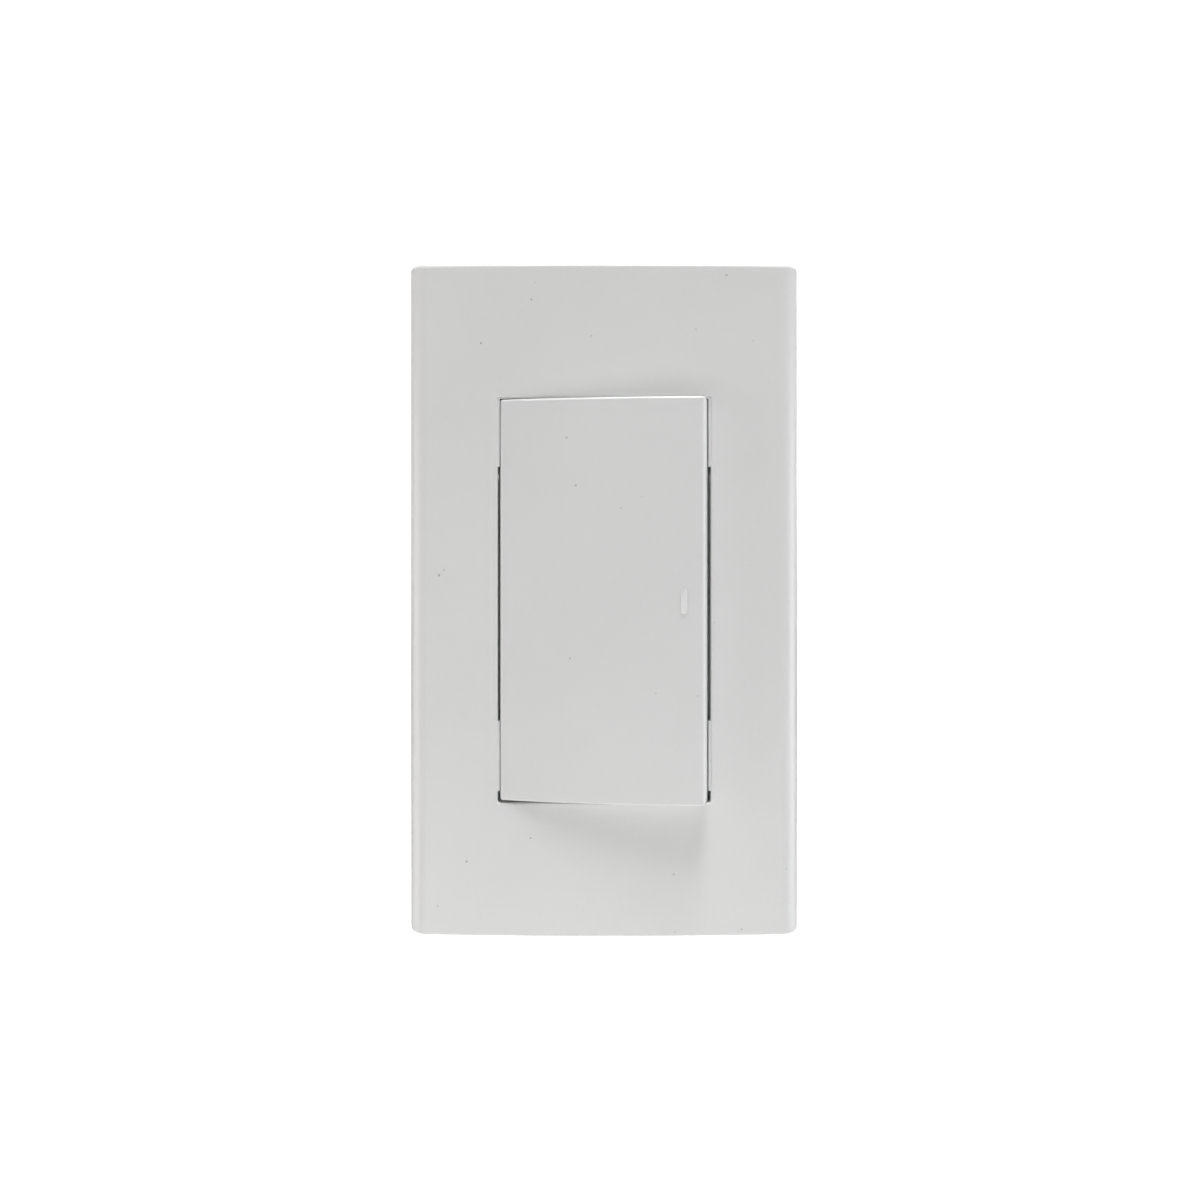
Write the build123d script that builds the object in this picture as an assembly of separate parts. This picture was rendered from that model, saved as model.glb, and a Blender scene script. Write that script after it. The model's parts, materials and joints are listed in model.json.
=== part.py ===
"""A wall plate with its push-handle light switch, as separate pieces.

The plate hangs on a wall: X is to the right, Y into the wall and Z up. The origin is the
middle of the plate on the wall's surface, so the cover is at -Y and the switch module at +Y.
The handle is hinged at its left edge. Pressing its raised right edge flips a toggle cam,
which rocks a contact blade on to the fixed contact. All sizes are in millimetres.
"""

from build123d import *
import math
import os

# The cover plate.
plate_width = 70.0
plate_height = 120.0
plate_depth = 7.0            # from the wall to the middle of the front
plate_crown = 1.0            # how far the front falls away at the long sides
plate_roll = 3.4             # radius of the rolled long sides
plate_end_round = 0.9        # radius along the short ends and round the corners
plate_wall = 2.0
opening_width = 37.9
opening_height = 72.2
opening_corner = 0.4
opening_edge_round = 0.3
flange_wall = 1.4            # the return wall round the opening, behind the front
flange_depth = 3.2           # from the front, level with the middle of the plate
guide_sink = 0.15            # how far the guide ribs start behind the opening's edge
guide_length = 12.4
guide_depth = 0.8            # from a guide rib's front to its back, where it meets the flange
guide_stand = 0.35           # how far the left guide ribs stand into the opening
guide_stand_right = 0.4
guide_stand_top = 0.3
lower_guide_lift = 2.1       # the lower guide ribs stop this far above the opening's lower edge
rib_thickness = 1.0          # of the stiffening ribs behind the cover and the handle
cover_rib_z = (46.4, 56.2)
cover_rib_half_length = 22.0
cover_rib_depth = 0.9
pry_notch_width = 10.0
pry_notch_depth = 1.6

# The handle.
handle_gap = 0.45            # between the handle and the opening, left, top and bottom
handle_gap_right = 0.62      # wider on the right, where the wall swings past the opening
handle_rise = 4.4            # the right edge stands this far off the plate
handle_mid_share = 0.69      # share of that rise reached at the handle's middle
handle_wall = 1.7
handle_skirt = 2.5           # how far its side walls reach behind the plate's front
handle_travel_deg = 3.6
handle_right_round = 1.0
handle_left_round = 0.5
handle_end_round = 0.45
hinge_inset = 2.3            # the hinge's axis from the handle's left edge
hinge_depth = 4.4            # the hinge's axis behind the plate's front
hinge_pin_radius = 0.75
running_clearance = 0.04     # radial, round every pin
lens_width = 1.15
lens_length = 4.5
lens_from_right = 4.65       # the lens's middle from the handle's right edge
lens_proud = 0.18
lens_clearance = 0.03
lens_stem = 2.6              # how far the lens reaches behind the handle's wall
lens_collar = 0.5            # how far its collar stands out round it
lens_collar_gap = 0.35
lens_collar_thickness = 0.75
handle_rib_z = (9.0, 18.0, 27.0)
handle_rib_gap = 0.3         # between those ribs and the operating plate
post_places_x = (-10.5, 3.0)
post_z = 11.5
post_half_width = 1.5
post_half_thickness = 0.8
post_barb = 0.35             # how far a post's barb stands out behind the operating plate
post_barb_height = 0.4
post_play = 0.05             # between the barb and the operating plate
post_hole_clearance = 0.1

# The inner frame and the strap.
frame_clearance = 0.35       # between the frame and the inside of the cover
frame_web = 2.0
frame_rim = 1.6
frame_rim_back = -0.1        # the rim stops just short of the wall's surface
frame_corner = 1.0
frame_chamfer = 0.5
frame_window_margin = 0.8    # round the opening
frame_bead_inset = 1.2       # from the window to the low bead round it
frame_bead_width = 1.0
frame_bead_height = 0.25
frame_rail_x = 29.2          # rails that carry the cover's long sides
frame_rail_width = 1.0
frame_rail_half_length = 30.0
frame_rail_height = 0.7
frame_pad_x = 18.0           # round pads that carry the cover's ends
frame_pad_radius = 2.2
frame_slot_x = 25.5          # long slots that lighten the frame
frame_slot_z = 15.0
frame_slot_width = 4.0
frame_slot_length = 20.0
hook_slot_width = 3.0
strap_thickness = 1.2
strap_side = 4.3             # the strap on each side of the module
strap_overlap = 1.5          # how far the strap's wide part reaches past the opening's ends
strap_length = 110.0
strap_neck_width = 28.0
strap_corner = 3.0
strap_lip_width = 1.0        # the rolled lips down both long sides, which point into the wall
strap_lip_depth = 2.2
strap_lip_half_length = 26.0
strap_bead_x = 10.0          # short pressed beads beside the module's ends
strap_bead_z = 29.0
strap_bead_length = 10.0
strap_bead_width = 1.6
strap_bead_height = 0.5
clip_hole_x = 10.5           # two round holes and two slots for surface-box clips, at each end
clip_hole_z = 37.5
clip_hole_radius = 1.6
clip_slot_z = 51.5
clip_slot_length = 5.0
clip_slot_width = 2.4
plate_collar_wall = 1.0      # round each plate screw's thread
plate_collar_back = 1.5
module_clearance = 0.3
box_screw_pitch = 83.5
box_screw_radius = 2.0
box_screw_reach = 22.0       # the tip, behind the wall's surface
box_head_radius = 3.9
box_head_height = 2.6
box_neck_radius = 1.55
retainer_radius = 4.2
retainer_thickness = 0.6
retainer_gap = 0.05          # behind the strap, and in front of the thread
slot_half_width = 2.3
slot_length = 9.0
plate_screw_pitch = 103.0
plate_screw_radius = 1.7
plate_screw_reach = 4.4
plate_head_radius = 3.3
plate_head_height = 2.0
screw_hole_clearance = 0.3   # radial, round the heads and shanks in the frame
head_sink = 1.0              # how deep the plate screws' heads sit in the frame
box_head_access = 0.9        # radial, round the box screws' heads in the frame
recess_share = 1.25          # a cross recess's width, as a share of the head's radius
hook_x = 27.0
hook_z = 41.0
hook_length = 6.0
hook_wall = 1.2
hook_nose = 0.6
hook_nose_height = 0.7
hook_tip = -0.4              # the hooks' tips stop just short of the wall's surface

# The switch module.
module_side_gap = 0.75       # between the module's side and the opening's
module_height = 44.8
module_front = -0.6          # the module's front face
module_split = 6.0           # where its cover meets its base
module_back = 28.0
module_wall = 1.6
module_floor = 2.5
module_corner = 1.5
rivet_inset = 2.9            # from the module's sides
rivet_radius = 1.1
rivet_head_radius = 1.8
rivet_head_height = 0.6
rivet_boss_radius = 2.2
ear_half_width = 13.0
ear_front = -2.7
ear_reach = 2.8
catch_half_width = 6.0       # wedges that catch behind the strap
catch_reach = 0.9
catch_play = 0.06
catch_back = 2.4
plate_lever_thickness = 1.4  # the operating plate under the handle
plate_lever_front = -4.5
lever_half_height = 14.4
hinge_lug_radius = 1.5
hinge_lug_width = 2.6
hinge_bracket_gap = 0.4      # between the operating plate's lugs and the brackets
hinge_bracket_width = 2.4

# The mechanism.
cam_x = 6.0
cam_y = 9.0
cam_swing_deg = 17.0         # from off to on
cam_half_width = 3.4
cam_pin_radius = 0.75
blade_pivot_y = 20.5
blade_swing_deg = 10.0
blade_thickness = 0.8
blade_half_width = 2.4
tip_x = -2.0
tip_radius = 1.4
return_spring_x = 9.0
return_spring_z = 10.0
return_coil_radius = 1.75
return_wire = 0.22           # the wire's radius
return_turns = 6
spring_cup_radius = 2.3
spring_cup_wall = 0.8
spring_cup_floor = 3.7
spring_cup_back = 4.6
drive_coil_radius = 1.35
drive_wire = 0.25
drive_turns = 3
drive_coil_foot = 0.9
drive_reach = 3.4            # how far in front of the cam's pivot the drive spring's tip ends
toggle_coil_radius = 1.35
toggle_wire = 0.22
toggle_turns = 5
spring_seat = 0.42           # from the seat to the first turn's middle, less the wire
coil_play = 0.04

# The terminals.
wire_hole_radius = 1.3
wire_pitch = 14.0            # the two wires of one terminal, side by side
wire_z = 15.2
wire_funnel = 0.8
terminal_wall = 1.0
terminal_half_width = 11.0
terminal_z = 17.1            # the middle of each terminal's clamping wall
terminal_front = 10.0
terminal_foot = 24.0         # the terminals' feet stand on the module's floor pads here
lever_width = 5.0
lever_travel = 1.6
lever_z = 12.9
lever_thickness = 1.8
lever_front = 19.6
lever_wing_front = 19.2
lever_wing_z = 14.25
lever_wing_back = 20.8
lever_slot_clearance = 0.15
driver_groove_length = 3.0
driver_groove_width = 0.8
driver_groove_depth = 0.6
foot_clearance = 0.4         # between a terminal's foot and the lever, and the wire
partition_z = 9.7
partition_front = 13.5
spring_leg_z = 11.0
leaf_thickness = 0.35
leaf_half_width = 1.9
# The leaf's bends: how far out from its leg, and how deep.
leaf_route = ((0.0, 11.2), (0.0, 21.0), (1.1, 22.3), (2.2, 21.3), (5.2, 13.0))
leaf_bends = (1.0, 0.8, 0.8)

# The pilot lamp.
lamp_z = 0.0
lamp_board_y = 12.0
lamp_board_thickness = 1.0
lamp_board_inner = 3.25      # from the lens's middle to the board's inner edge
lamp_board_outer = 2.65
lamp_board_half_height = 6.2
lamp_radius = 1.5
lamp_flange = 0.35
lamp_flange_height = 0.9
lamp_height = 3.4            # from the board to the dome's centre
resistor_z = -4.0
resistor_radius = 0.8
resistor_half_length = 1.6
diode_z = 3.6
diode_radius = 0.65
diode_half_length = 1.4
part_lift = 0.1              # between the lamp's small parts and the board, and its leads' ends
lead_z = 5.4
lead_radius = 0.3
lead_rise = 2.4              # how far behind the board the leads turn off
lead_bend = 1.2

# Worked out from the sizes above.
module_width = opening_width - 2 * module_side_gap
strap_width = module_width + 2 * strap_side
rivet_x = module_width / 2 - rivet_inset
rivet_z = module_height / 2 - rivet_inset
lead_end_x = terminal_half_width - 0.65
half_w = plate_width / 2
half_h = plate_height / 2
open_x = opening_width / 2
open_z = opening_height / 2
front_y = -plate_depth
handle_left = -open_x + handle_gap
handle_right = open_x - handle_gap
handle_half_height = open_z - handle_gap
hinge_x = handle_left + hinge_inset
hinge_y = front_y + hinge_depth
skirt_y = front_y + handle_skirt + plate_crown * (open_x / half_w) ** 2
web_front = -strap_thickness - frame_web
lens_x = handle_right - lens_from_right
lever_back = plate_lever_front + plate_lever_thickness
blade_tilt = blade_swing_deg / 2
foot_inner_x = lever_width / 2 + foot_clearance
foot_outer_x = wire_pitch / 2 - wire_hole_radius - 0.3
lead_y = lamp_board_y + lamp_board_thickness + lead_rise
cam_tilt = cam_swing_deg / 2


def block(x0, x1, y0, y1, z0, z1):
    """A box between two corners."""
    low = (min(x0, x1), min(y0, y1), min(z0, z1))
    size = (abs(x1 - x0), abs(y1 - y0), abs(z1 - z0))
    return Pos(*low) * Box(*size, align=(Align.MIN, Align.MIN, Align.MIN))


def rod_y(x, z, radius, y0, y1):
    """A round bar along Y."""
    bar = Cylinder(radius, y1 - y0, align=(Align.CENTER, Align.CENTER, Align.MIN))
    return Pos(x, y0, z) * Rot(-90, 0, 0) * bar


def rod_z(x, y, radius, z0, z1):
    """A round bar along Z."""
    bar = Cylinder(radius, z1 - z0, align=(Align.CENTER, Align.CENTER, Align.MIN))
    return Pos(x, y, z0) * bar


def rod_x(y, z, radius, x0, x1):
    """A round bar along X."""
    bar = Cylinder(radius, x1 - x0, align=(Align.CENTER, Align.CENTER, Align.MIN))
    return Pos(x0, y, z) * Rot(0, 90, 0) * bar


def cone_y(x, z, radius0, radius1, y0, y1):
    """A tapered bar along Y."""
    bar = Cone(radius0, radius1, y1 - y0, align=(Align.CENTER, Align.CENTER, Align.MIN))
    return Pos(x, y0, z) * Rot(-90, 0, 0) * bar


def slab(sketch, z0, z1):
    """A sketch in X and Y, drawn out along Z."""
    return Pos(0, 0, z0) * extrude(sketch, z1 - z0)


def slab_y(sketch, y0, y1):
    """A sketch whose axes are X and Z, drawn out along Y."""
    return Pos(0, y0, 0) * Rot(-90, 0, 0) * extrude(mirror(sketch, Plane.XZ), y1 - y0)


def prism_x(corners, x0, x1):
    """A solid along X whose section is given by corners in Y and Z."""
    face = Plane((x0, 0, 0), x_dir=(0, 1, 0), z_dir=(1, 0, 0)) * make_face(Polyline(*corners, close=True))
    return extrude(face, x1 - x0, dir=(1, 0, 0))


def turned(shape, x, y, degrees):
    """A shape turned about an axis along Z through x, y."""
    return Pos(x, y, 0) * Rot(0, 0, degrees) * Pos(-x, -y, 0) * shape


def coil(start, end, radius, wire, turns):
    """A wire spring between two points on its axis."""
    start, end = Vector(*start), Vector(*end)
    axis = end - start
    path = Helix(axis.length / turns, axis.length, radius)
    section = Plane(path @ 0, z_dir=path % 0) * Circle(wire)
    return Plane(start, z_dir=axis) * sweep(section, path, is_frenet=True)


def one(shape):
    """The shape's solids, joined into one part."""
    solids = shape.solids()
    return solids[0] if len(solids) == 1 else Compound(children=solids)


def crown_drop(x):
    """How far the plate's front has fallen away at x."""
    return plate_crown * (x / half_w) ** 2


# The cover plate.
def plate_section(inset):
    """The plate's crowned and rolled section, in X and Y, moved inwards by inset."""
    side = half_w - inset
    top = front_y + inset
    shoulder = top + crown_drop(side)
    outline = Curve() + [
        Line((-side, 0), (-side, shoulder)),
        ThreePointArc((-side, shoulder), (0, top), (side, shoulder)),
        Line((side, shoulder), (side, 0)),
        Line((side, 0), (-side, 0)),
    ]
    face = make_face(outline)
    corners = [v for v in face.vertices() if v.Y < -0.1]
    return fillet(corners, plate_roll - inset)


def make_cover_plate():
    body = slab(plate_section(0), -half_h, half_h)
    ends = [e for e in body.edges() if abs(abs(e.center().Z) - half_h) < 0.01 and e.center().Y < -0.05]
    body = fillet(ends, plate_end_round)
    body -= slab(plate_section(plate_wall), -half_h + plate_wall, half_h - plate_wall)

    mouth = fillet(Rectangle(opening_width, opening_height).vertices(), opening_corner)
    body -= slab_y(mouth, front_y - 1, 0)
    rim = [
        e
        for e in body.edges()
        if abs(e.center().X) < open_x + 0.01 and abs(e.center().Z) < open_z + 0.01
        and e.center().Y < front_y + crown_drop(open_x) + 0.2
    ]
    body = fillet(rim, opening_edge_round)

    # A flange behind each edge of the opening, with guide ribs that steady the handle's corners.
    arm_root = front_y + plate_wall / 2
    guide_front = front_y + crown_drop(open_x) + guide_sink
    flange_back = front_y + flange_depth
    outer_x = open_x + flange_wall
    lowest = -open_z + lower_guide_lift
    for side, stand in ((-1, guide_stand), (1, guide_stand_right)):
        for z_low, z_high in ((open_z - guide_length, open_z), (lowest, lowest + guide_length)):
            wall = block(side * open_x, side * outer_x, arm_root, flange_back, z_low, z_high)
            guide_in, guide_out = side * (open_x - stand), side * (open_x + flange_wall / 2)
            body += wall + block(guide_in, guide_out, guide_front, guide_front + guide_depth, z_low, z_high)
    top_in = open_z - guide_stand_top
    body += block(-outer_x, outer_x, guide_front, flange_back, top_in, open_z + flange_wall)
    body += block(-outer_x, outer_x, arm_root, flange_back, -open_z - flange_wall, -open_z)

    # Four hook arms that drop through the inner frame, and stiffening ribs between them.
    catch = hook_tip - hook_nose_height
    for side in (-1, 1):
        for end in (-1, 1):
            arm_in, arm_out = side * (hook_x - hook_wall), side * hook_x
            z0, z1 = end * hook_z - hook_length / 2, end * hook_z + hook_length / 2
            body += block(arm_in, arm_out, arm_root + crown_drop(hook_x), hook_tip, z0, z1)
            nose = side * (hook_x + hook_nose)
            wedge = Polyline((arm_out, catch), (nose, catch + 0.2), (arm_out, hook_tip), close=True)
            body += slab(make_face(wedge), z0, z1)
    half_rib = rib_thickness / 2
    rib_back = front_y + plate_wall + cover_rib_depth
    for end in (-1, 1):
        for z in (end * rib_z for rib_z in cover_rib_z):
            half = cover_rib_half_length
            body += block(-half, half, arm_root + crown_drop(half), rib_back, z - half_rib, z + half_rib)
    # A notch in the lower wall for the tip of a screwdriver.
    half_notch = pry_notch_width / 2
    body -= block(-half_notch, half_notch, -pry_notch_depth, 1, -half_h - 1, -half_h + plate_wall + 1)
    return one(body)


# The handle.
def handle_face_y(x, inset=0.0):
    """Where the handle's curved face lies at x."""
    share = (x - handle_left) / (handle_right - handle_left)
    bend = 4 * handle_mid_share - 1
    rise = handle_rise * (bend * share + (1 - bend) * share**2)
    return front_y + crown_drop(handle_left) - rise + inset


def handle_section(inset, back):
    """The handle's section. Its right wall is an arc about the hinge, to swing past the opening."""
    middle = (handle_left + handle_right) / 2
    left = handle_left + inset
    beyond = handle_right + 2
    outline = Curve() + [
        Line((left, back), (left, handle_face_y(left, inset))),
        ThreePointArc(
            (left, handle_face_y(left, inset)),
            (middle, handle_face_y(middle, inset)),
            (beyond, handle_face_y(beyond, inset)),
        ),
        Line((beyond, handle_face_y(beyond, inset)), (beyond, back)),
        Line((beyond, back), (left, back)),
    ]
    surface = front_y + crown_drop(open_x)
    swing = math.hypot(open_x - handle_gap_right - hinge_x, surface - hinge_y)
    return make_face(outline) & (Pos(hinge_x, hinge_y) * Circle(swing - inset))


def lens_outline(grow):
    """The lens's pill shape, in X and Z."""
    pill = SlotOverall(lens_length + 2 * grow, lens_width + 2 * grow, rotation=90)
    return Pos(lens_x, 0) * pill


def make_handle():
    body = slab(handle_section(0, skirt_y), -handle_half_height, handle_half_height)
    upright = [e for e in body.edges() if abs(e.center().Z) < 1]
    right_edge = [e for e in upright if e.center().X > handle_right - 2 and e.center().Y < front_y - 2]
    body = fillet(right_edge, handle_right_round)
    upright = [e for e in body.edges() if abs(e.center().Z) < 1]
    left_edge = [e for e in upright if e.center().X < handle_left + 0.1 and e.center().Y < front_y + 1]
    body = fillet(left_edge, handle_left_round)
    ends = [
        e for e in body.edges()
        if abs(abs(e.center().Z) - handle_half_height) < 0.01 and e.center().Y < skirt_y - 0.05
    ]
    body = fillet(ends, handle_end_round)
    inside = handle_half_height - handle_wall
    body -= slab(handle_section(handle_wall, skirt_y + 1), -inside, inside)

    # Stiffening ribs under the face, and four posts that clip into the operating plate.
    rib_back = plate_lever_front - handle_rib_gap
    half_rib = rib_thickness / 2
    for end in (-1, 1):
        for z in (end * rib_z for rib_z in handle_rib_z):
            body += slab(handle_section(handle_wall / 2, rib_back), z - half_rib, z + half_rib)
        near, far = end * (post_z - post_half_thickness), end * (post_z + post_half_thickness)
        barb = lever_back + post_play
        for x in post_places_x:
            x0, x1 = x - post_half_width, x + post_half_width
            body += block(x0, x1, handle_face_y(x, handle_wall / 2), barb + post_barb_height, near, far)
            body += block(x0, x1, barb, barb + post_barb_height, far, far + end * post_barb)
    body -= slab_y(lens_outline(lens_clearance), -30, skirt_y)
    return one(body)


def make_indicator_lens():
    face = handle_face_y(lens_x)
    stem = slab_y(lens_outline(0), face - lens_proud, face + handle_wall + lens_stem)
    crown = [e for e in stem.edges() if e.center().Y < face - lens_proud + 0.01]
    stem = fillet(crown, lens_proud * 0.9)
    shelf = face + handle_wall + lens_collar_gap
    collar = slab_y(lens_outline(lens_collar), shelf, shelf + lens_collar_thickness)
    return one(stem + collar)


def make_operating_plate():
    left, right, half = hinge_x + 2.0, handle_right - handle_wall - 1.6, lever_half_height
    sheet = fillet(Rectangle(right - left, 2 * half).vertices(), 1.0)
    body = slab_y(Pos((left + right) / 2, 0) * sheet, plate_lever_front, lever_back)
    for end in (-1, 1):
        z0, z1 = sorted((end * (half - hinge_lug_width), end * half))
        body += rod_z(hinge_x, hinge_y, hinge_lug_radius, z0, z1)
        body += block(hinge_x, left + 0.5, hinge_y - hinge_lug_radius, hinge_y - 0.2, z0, z1)
        body -= rod_z(hinge_x, hinge_y, hinge_pin_radius + running_clearance, z0 - 1, z1 + 1)
        body += rod_y(return_spring_x, end * return_spring_z, 1.3, lever_back, lever_back + 0.9)
        for x in post_places_x:
            size = (post_half_width + post_hole_clearance, post_half_thickness + post_hole_clearance)
            hole = Rectangle(2 * size[0], 2 * size[1])
            body -= slab_y(Pos(x, end * post_z) * hole, plate_lever_front - 1, lever_back + 1)
    body += rod_y(cam_x, 0, 1.0, lever_back, lever_back + 1.2)
    light_hole = Pos(lens_x, 0) * SlotOverall(8.0, 3.6, rotation=90)
    body -= slab_y(light_hole, plate_lever_front - 1, lever_back + 1)
    for z in (-1, 1):
        window = Pos(-4.5, z * 8.0) * fillet(Rectangle(7, 9).vertices(), 1)
        body -= slab_y(window, plate_lever_front - 1, lever_back + 1)
    return one(body)


def make_hinge_pin():
    half = lever_half_height + hinge_bracket_gap + hinge_bracket_width + 0.3
    pin = rod_z(hinge_x, hinge_y, hinge_pin_radius, -half, half)
    return one(chamfer(pin.edges().filter_by(GeomType.CIRCLE), 0.15))


# The inner frame and the strap.
def make_plate_frame():
    x_out = half_w - plate_wall - frame_clearance
    z_out = half_h - plate_wall - frame_clearance
    outline = fillet(Rectangle(2 * x_out, 2 * z_out).vertices(), frame_corner)
    body = slab_y(outline, web_front, frame_rim_back)
    core = fillet(Rectangle(2 * (x_out - frame_rim), 2 * (z_out - frame_rim)).vertices(), 0.6)
    body -= slab_y(core, -strap_thickness, 1)
    body = chamfer([e for e in body.edges() if e.center().Y < web_front + 0.01], frame_chamfer)

    window_x, window_z = open_x + frame_window_margin, open_z + frame_window_margin
    window = fillet(Rectangle(2 * window_x, 2 * window_z).vertices(), 1.0)
    body -= slab_y(window, web_front - 2, 1)
    # A low bead round the window, a rail along each side and pads at the ends carry the cover.
    near, far = 2 * frame_bead_inset, 2 * (frame_bead_inset + frame_bead_width)
    bead = fillet(Rectangle(2 * window_x + far, 2 * window_z + far).vertices(), 1.5)
    bead -= fillet(Rectangle(2 * window_x + near, 2 * window_z + near).vertices(), 1.0)
    body += slab_y(bead, web_front - frame_bead_height, web_front)
    rail_front = web_front - frame_rail_height
    rail_half = frame_rail_half_length
    for side in (-1, 1):
        rail_in, rail_out = side * frame_rail_x, side * (frame_rail_x + frame_rail_width)
        body += block(rail_in, rail_out, rail_front, web_front, -rail_half, rail_half)
        for end in (-1, 1):
            z = end * plate_screw_pitch / 2
            body += rod_y(side * frame_pad_x, z, frame_pad_radius, rail_front, web_front)
            slot = Pos(side * (hook_x - 0.25), end * hook_z) * Rectangle(hook_slot_width, hook_length + 1)
            body -= slab_y(slot, web_front - 1, 1)
            slot = fillet(Rectangle(frame_slot_width, frame_slot_length).vertices(), 1.5)
            body -= slab_y(Pos(side * frame_slot_x, end * frame_slot_z) * slot, web_front - 1, 1)
    for end in (-1, 1):
        z = end * plate_screw_pitch / 2
        body -= rod_y(0, end * box_screw_pitch / 2, box_head_radius + box_head_access, web_front - 1, 1)
        body -= rod_y(0, z, plate_screw_radius + screw_hole_clearance, web_front - 1, 1)
        body -= rod_y(0, z, plate_head_radius + screw_hole_clearance, web_front - 1, web_front + head_sink)
    return one(body)


def make_mounting_strap():
    half = strap_length / 2
    wide = fillet(Rectangle(strap_width, 2 * (open_z + strap_overlap)).vertices(), strap_corner)
    neck = fillet(Rectangle(strap_neck_width, 2 * half).vertices(), strap_corner)
    body = slab_y(wide + neck, -strap_thickness, 0)
    for side in (-1, 1):
        lip_in, lip_out = side * (strap_width / 2 - strap_lip_width), side * strap_width / 2
        lip_half = strap_lip_half_length
        body += block(lip_in, lip_out, -strap_thickness / 2, strap_lip_depth, -lip_half, lip_half)
    wx, wz = module_width / 2 + module_clearance, module_height / 2 + module_clearance
    body -= block(-wx, wx, -5, 5, -wz, wz)
    for end in (-1, 1):
        slot = Pos(0, end * box_screw_pitch / 2) * SlotOverall(slot_length, 2 * slot_half_width)
        body -= slab_y(slot, -5, 5)
        z = end * plate_screw_pitch / 2
        body += rod_y(0, z, plate_screw_radius + plate_collar_wall, -0.2, plate_collar_back)
        body -= rod_y(0, z, plate_screw_radius + 0.03, -5, 5)
        for side in (-1, 1):
            body -= rod_y(side * clip_hole_x, end * clip_hole_z, clip_hole_radius, -5, 5)
            slot = SlotOverall(clip_slot_length, clip_slot_width)
            body -= slab_y(Pos(side * clip_hole_x, end * clip_slot_z) * slot, -5, 5)
            bead = SlotOverall(strap_bead_length, strap_bead_width)
            body += slab_y(Pos(side * strap_bead_x, end * strap_bead_z) * bead, -0.2, strap_bead_height)
    return one(body)


def cross_recess(x, z, front, width, depth):
    """The tool that cuts a cross-head recess into a screw that faces -Y."""
    arm = width / 4.2
    cut = block(x - width / 2, x + width / 2, front - 1, front + depth * 0.7, z - arm / 2, z + arm / 2)
    cut += block(x - arm / 2, x + arm / 2, front - 1, front + depth * 0.7, z - width / 2, z + width / 2)
    return cut + cone_y(x, z, width * 0.30, 0.25, front - 0.01, front + depth)


def pan_screw(z, head_front, head_radius, head_height, shank_radius, tip, neck_radius=0, neck_end=0):
    """A pan-head screw along Y, with a cross recess and a plain shank. A captive one has a thin neck."""
    head = rod_y(0, z, head_radius, head_front, head_front + head_height)
    head = fillet([e for e in head.edges() if e.center().Y < head_front + 0.01], head_height * 0.5)
    shank = rod_y(0, z, shank_radius, head_front + head_height, tip)
    shank = chamfer([e for e in shank.edges() if e.center().Y > tip - 0.01], shank_radius * 0.35)
    if neck_radius:
        under = head_front + head_height
        shank -= rod_y(0, z, shank_radius + 1, under, neck_end) - rod_y(0, z, neck_radius, under, neck_end)
    return head + shank - cross_recess(0, z, head_front, head_radius * recess_share, head_height * 0.7)


def make_box_screws():
    front = -strap_thickness - box_head_height
    neck_end = retainer_thickness + 2 * retainer_gap
    screws = []
    for end in (-1, 1):
        z = end * box_screw_pitch / 2
        size = (front, box_head_radius, box_head_height, box_screw_radius, box_screw_reach)
        screws.append(pan_screw(z, *size, box_neck_radius, neck_end).solids()[0])
    return Compound(children=screws)


def make_screw_retainers():
    """Fibre washers on the necks, which keep the loose screws in the strap."""
    washers = []
    for end in (-1, 1):
        z = end * box_screw_pitch / 2
        washer = rod_y(0, z, retainer_radius, retainer_gap, retainer_gap + retainer_thickness)
        washers.append((washer - rod_y(0, z, box_neck_radius + running_clearance, -5, 5)).solids()[0])
    return Compound(children=washers)


def make_plate_screws():
    front = web_front + head_sink - plate_head_height
    size = (front, plate_head_radius, plate_head_height, plate_screw_radius, plate_screw_reach)
    screws = [pan_screw(end * plate_screw_pitch / 2, *size).solids()[0] for end in (-1, 1)]
    return Compound(children=screws)


# The switch module.
def rivet_places():
    return [(sx * rivet_x, sz * rivet_z) for sx in (-1, 1) for sz in (-1, 1)]


def rivet_bosses(y0, y1):
    """A round boss at each rivet, joined to both walls of its corner."""
    bosses = []
    reach = rivet_boss_radius
    for x, z in rivet_places():
        side_x = math.copysign(module_width / 2 - 0.5, x)
        side_z = math.copysign(module_height / 2 - 0.5, z)
        bosses.append(rod_y(x, z, reach, y0, y1))
        bosses.append(block(x, side_x, y0, y1, z - reach, z + reach))
        bosses.append(block(x - reach, x + reach, y0, y1, z, side_z))
    return bosses


def module_outline(inset=0.0):
    shape = Rectangle(module_width - 2 * inset, module_height - 2 * inset)
    return fillet(shape.vertices(), max(module_corner - inset, 0.3))


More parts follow.
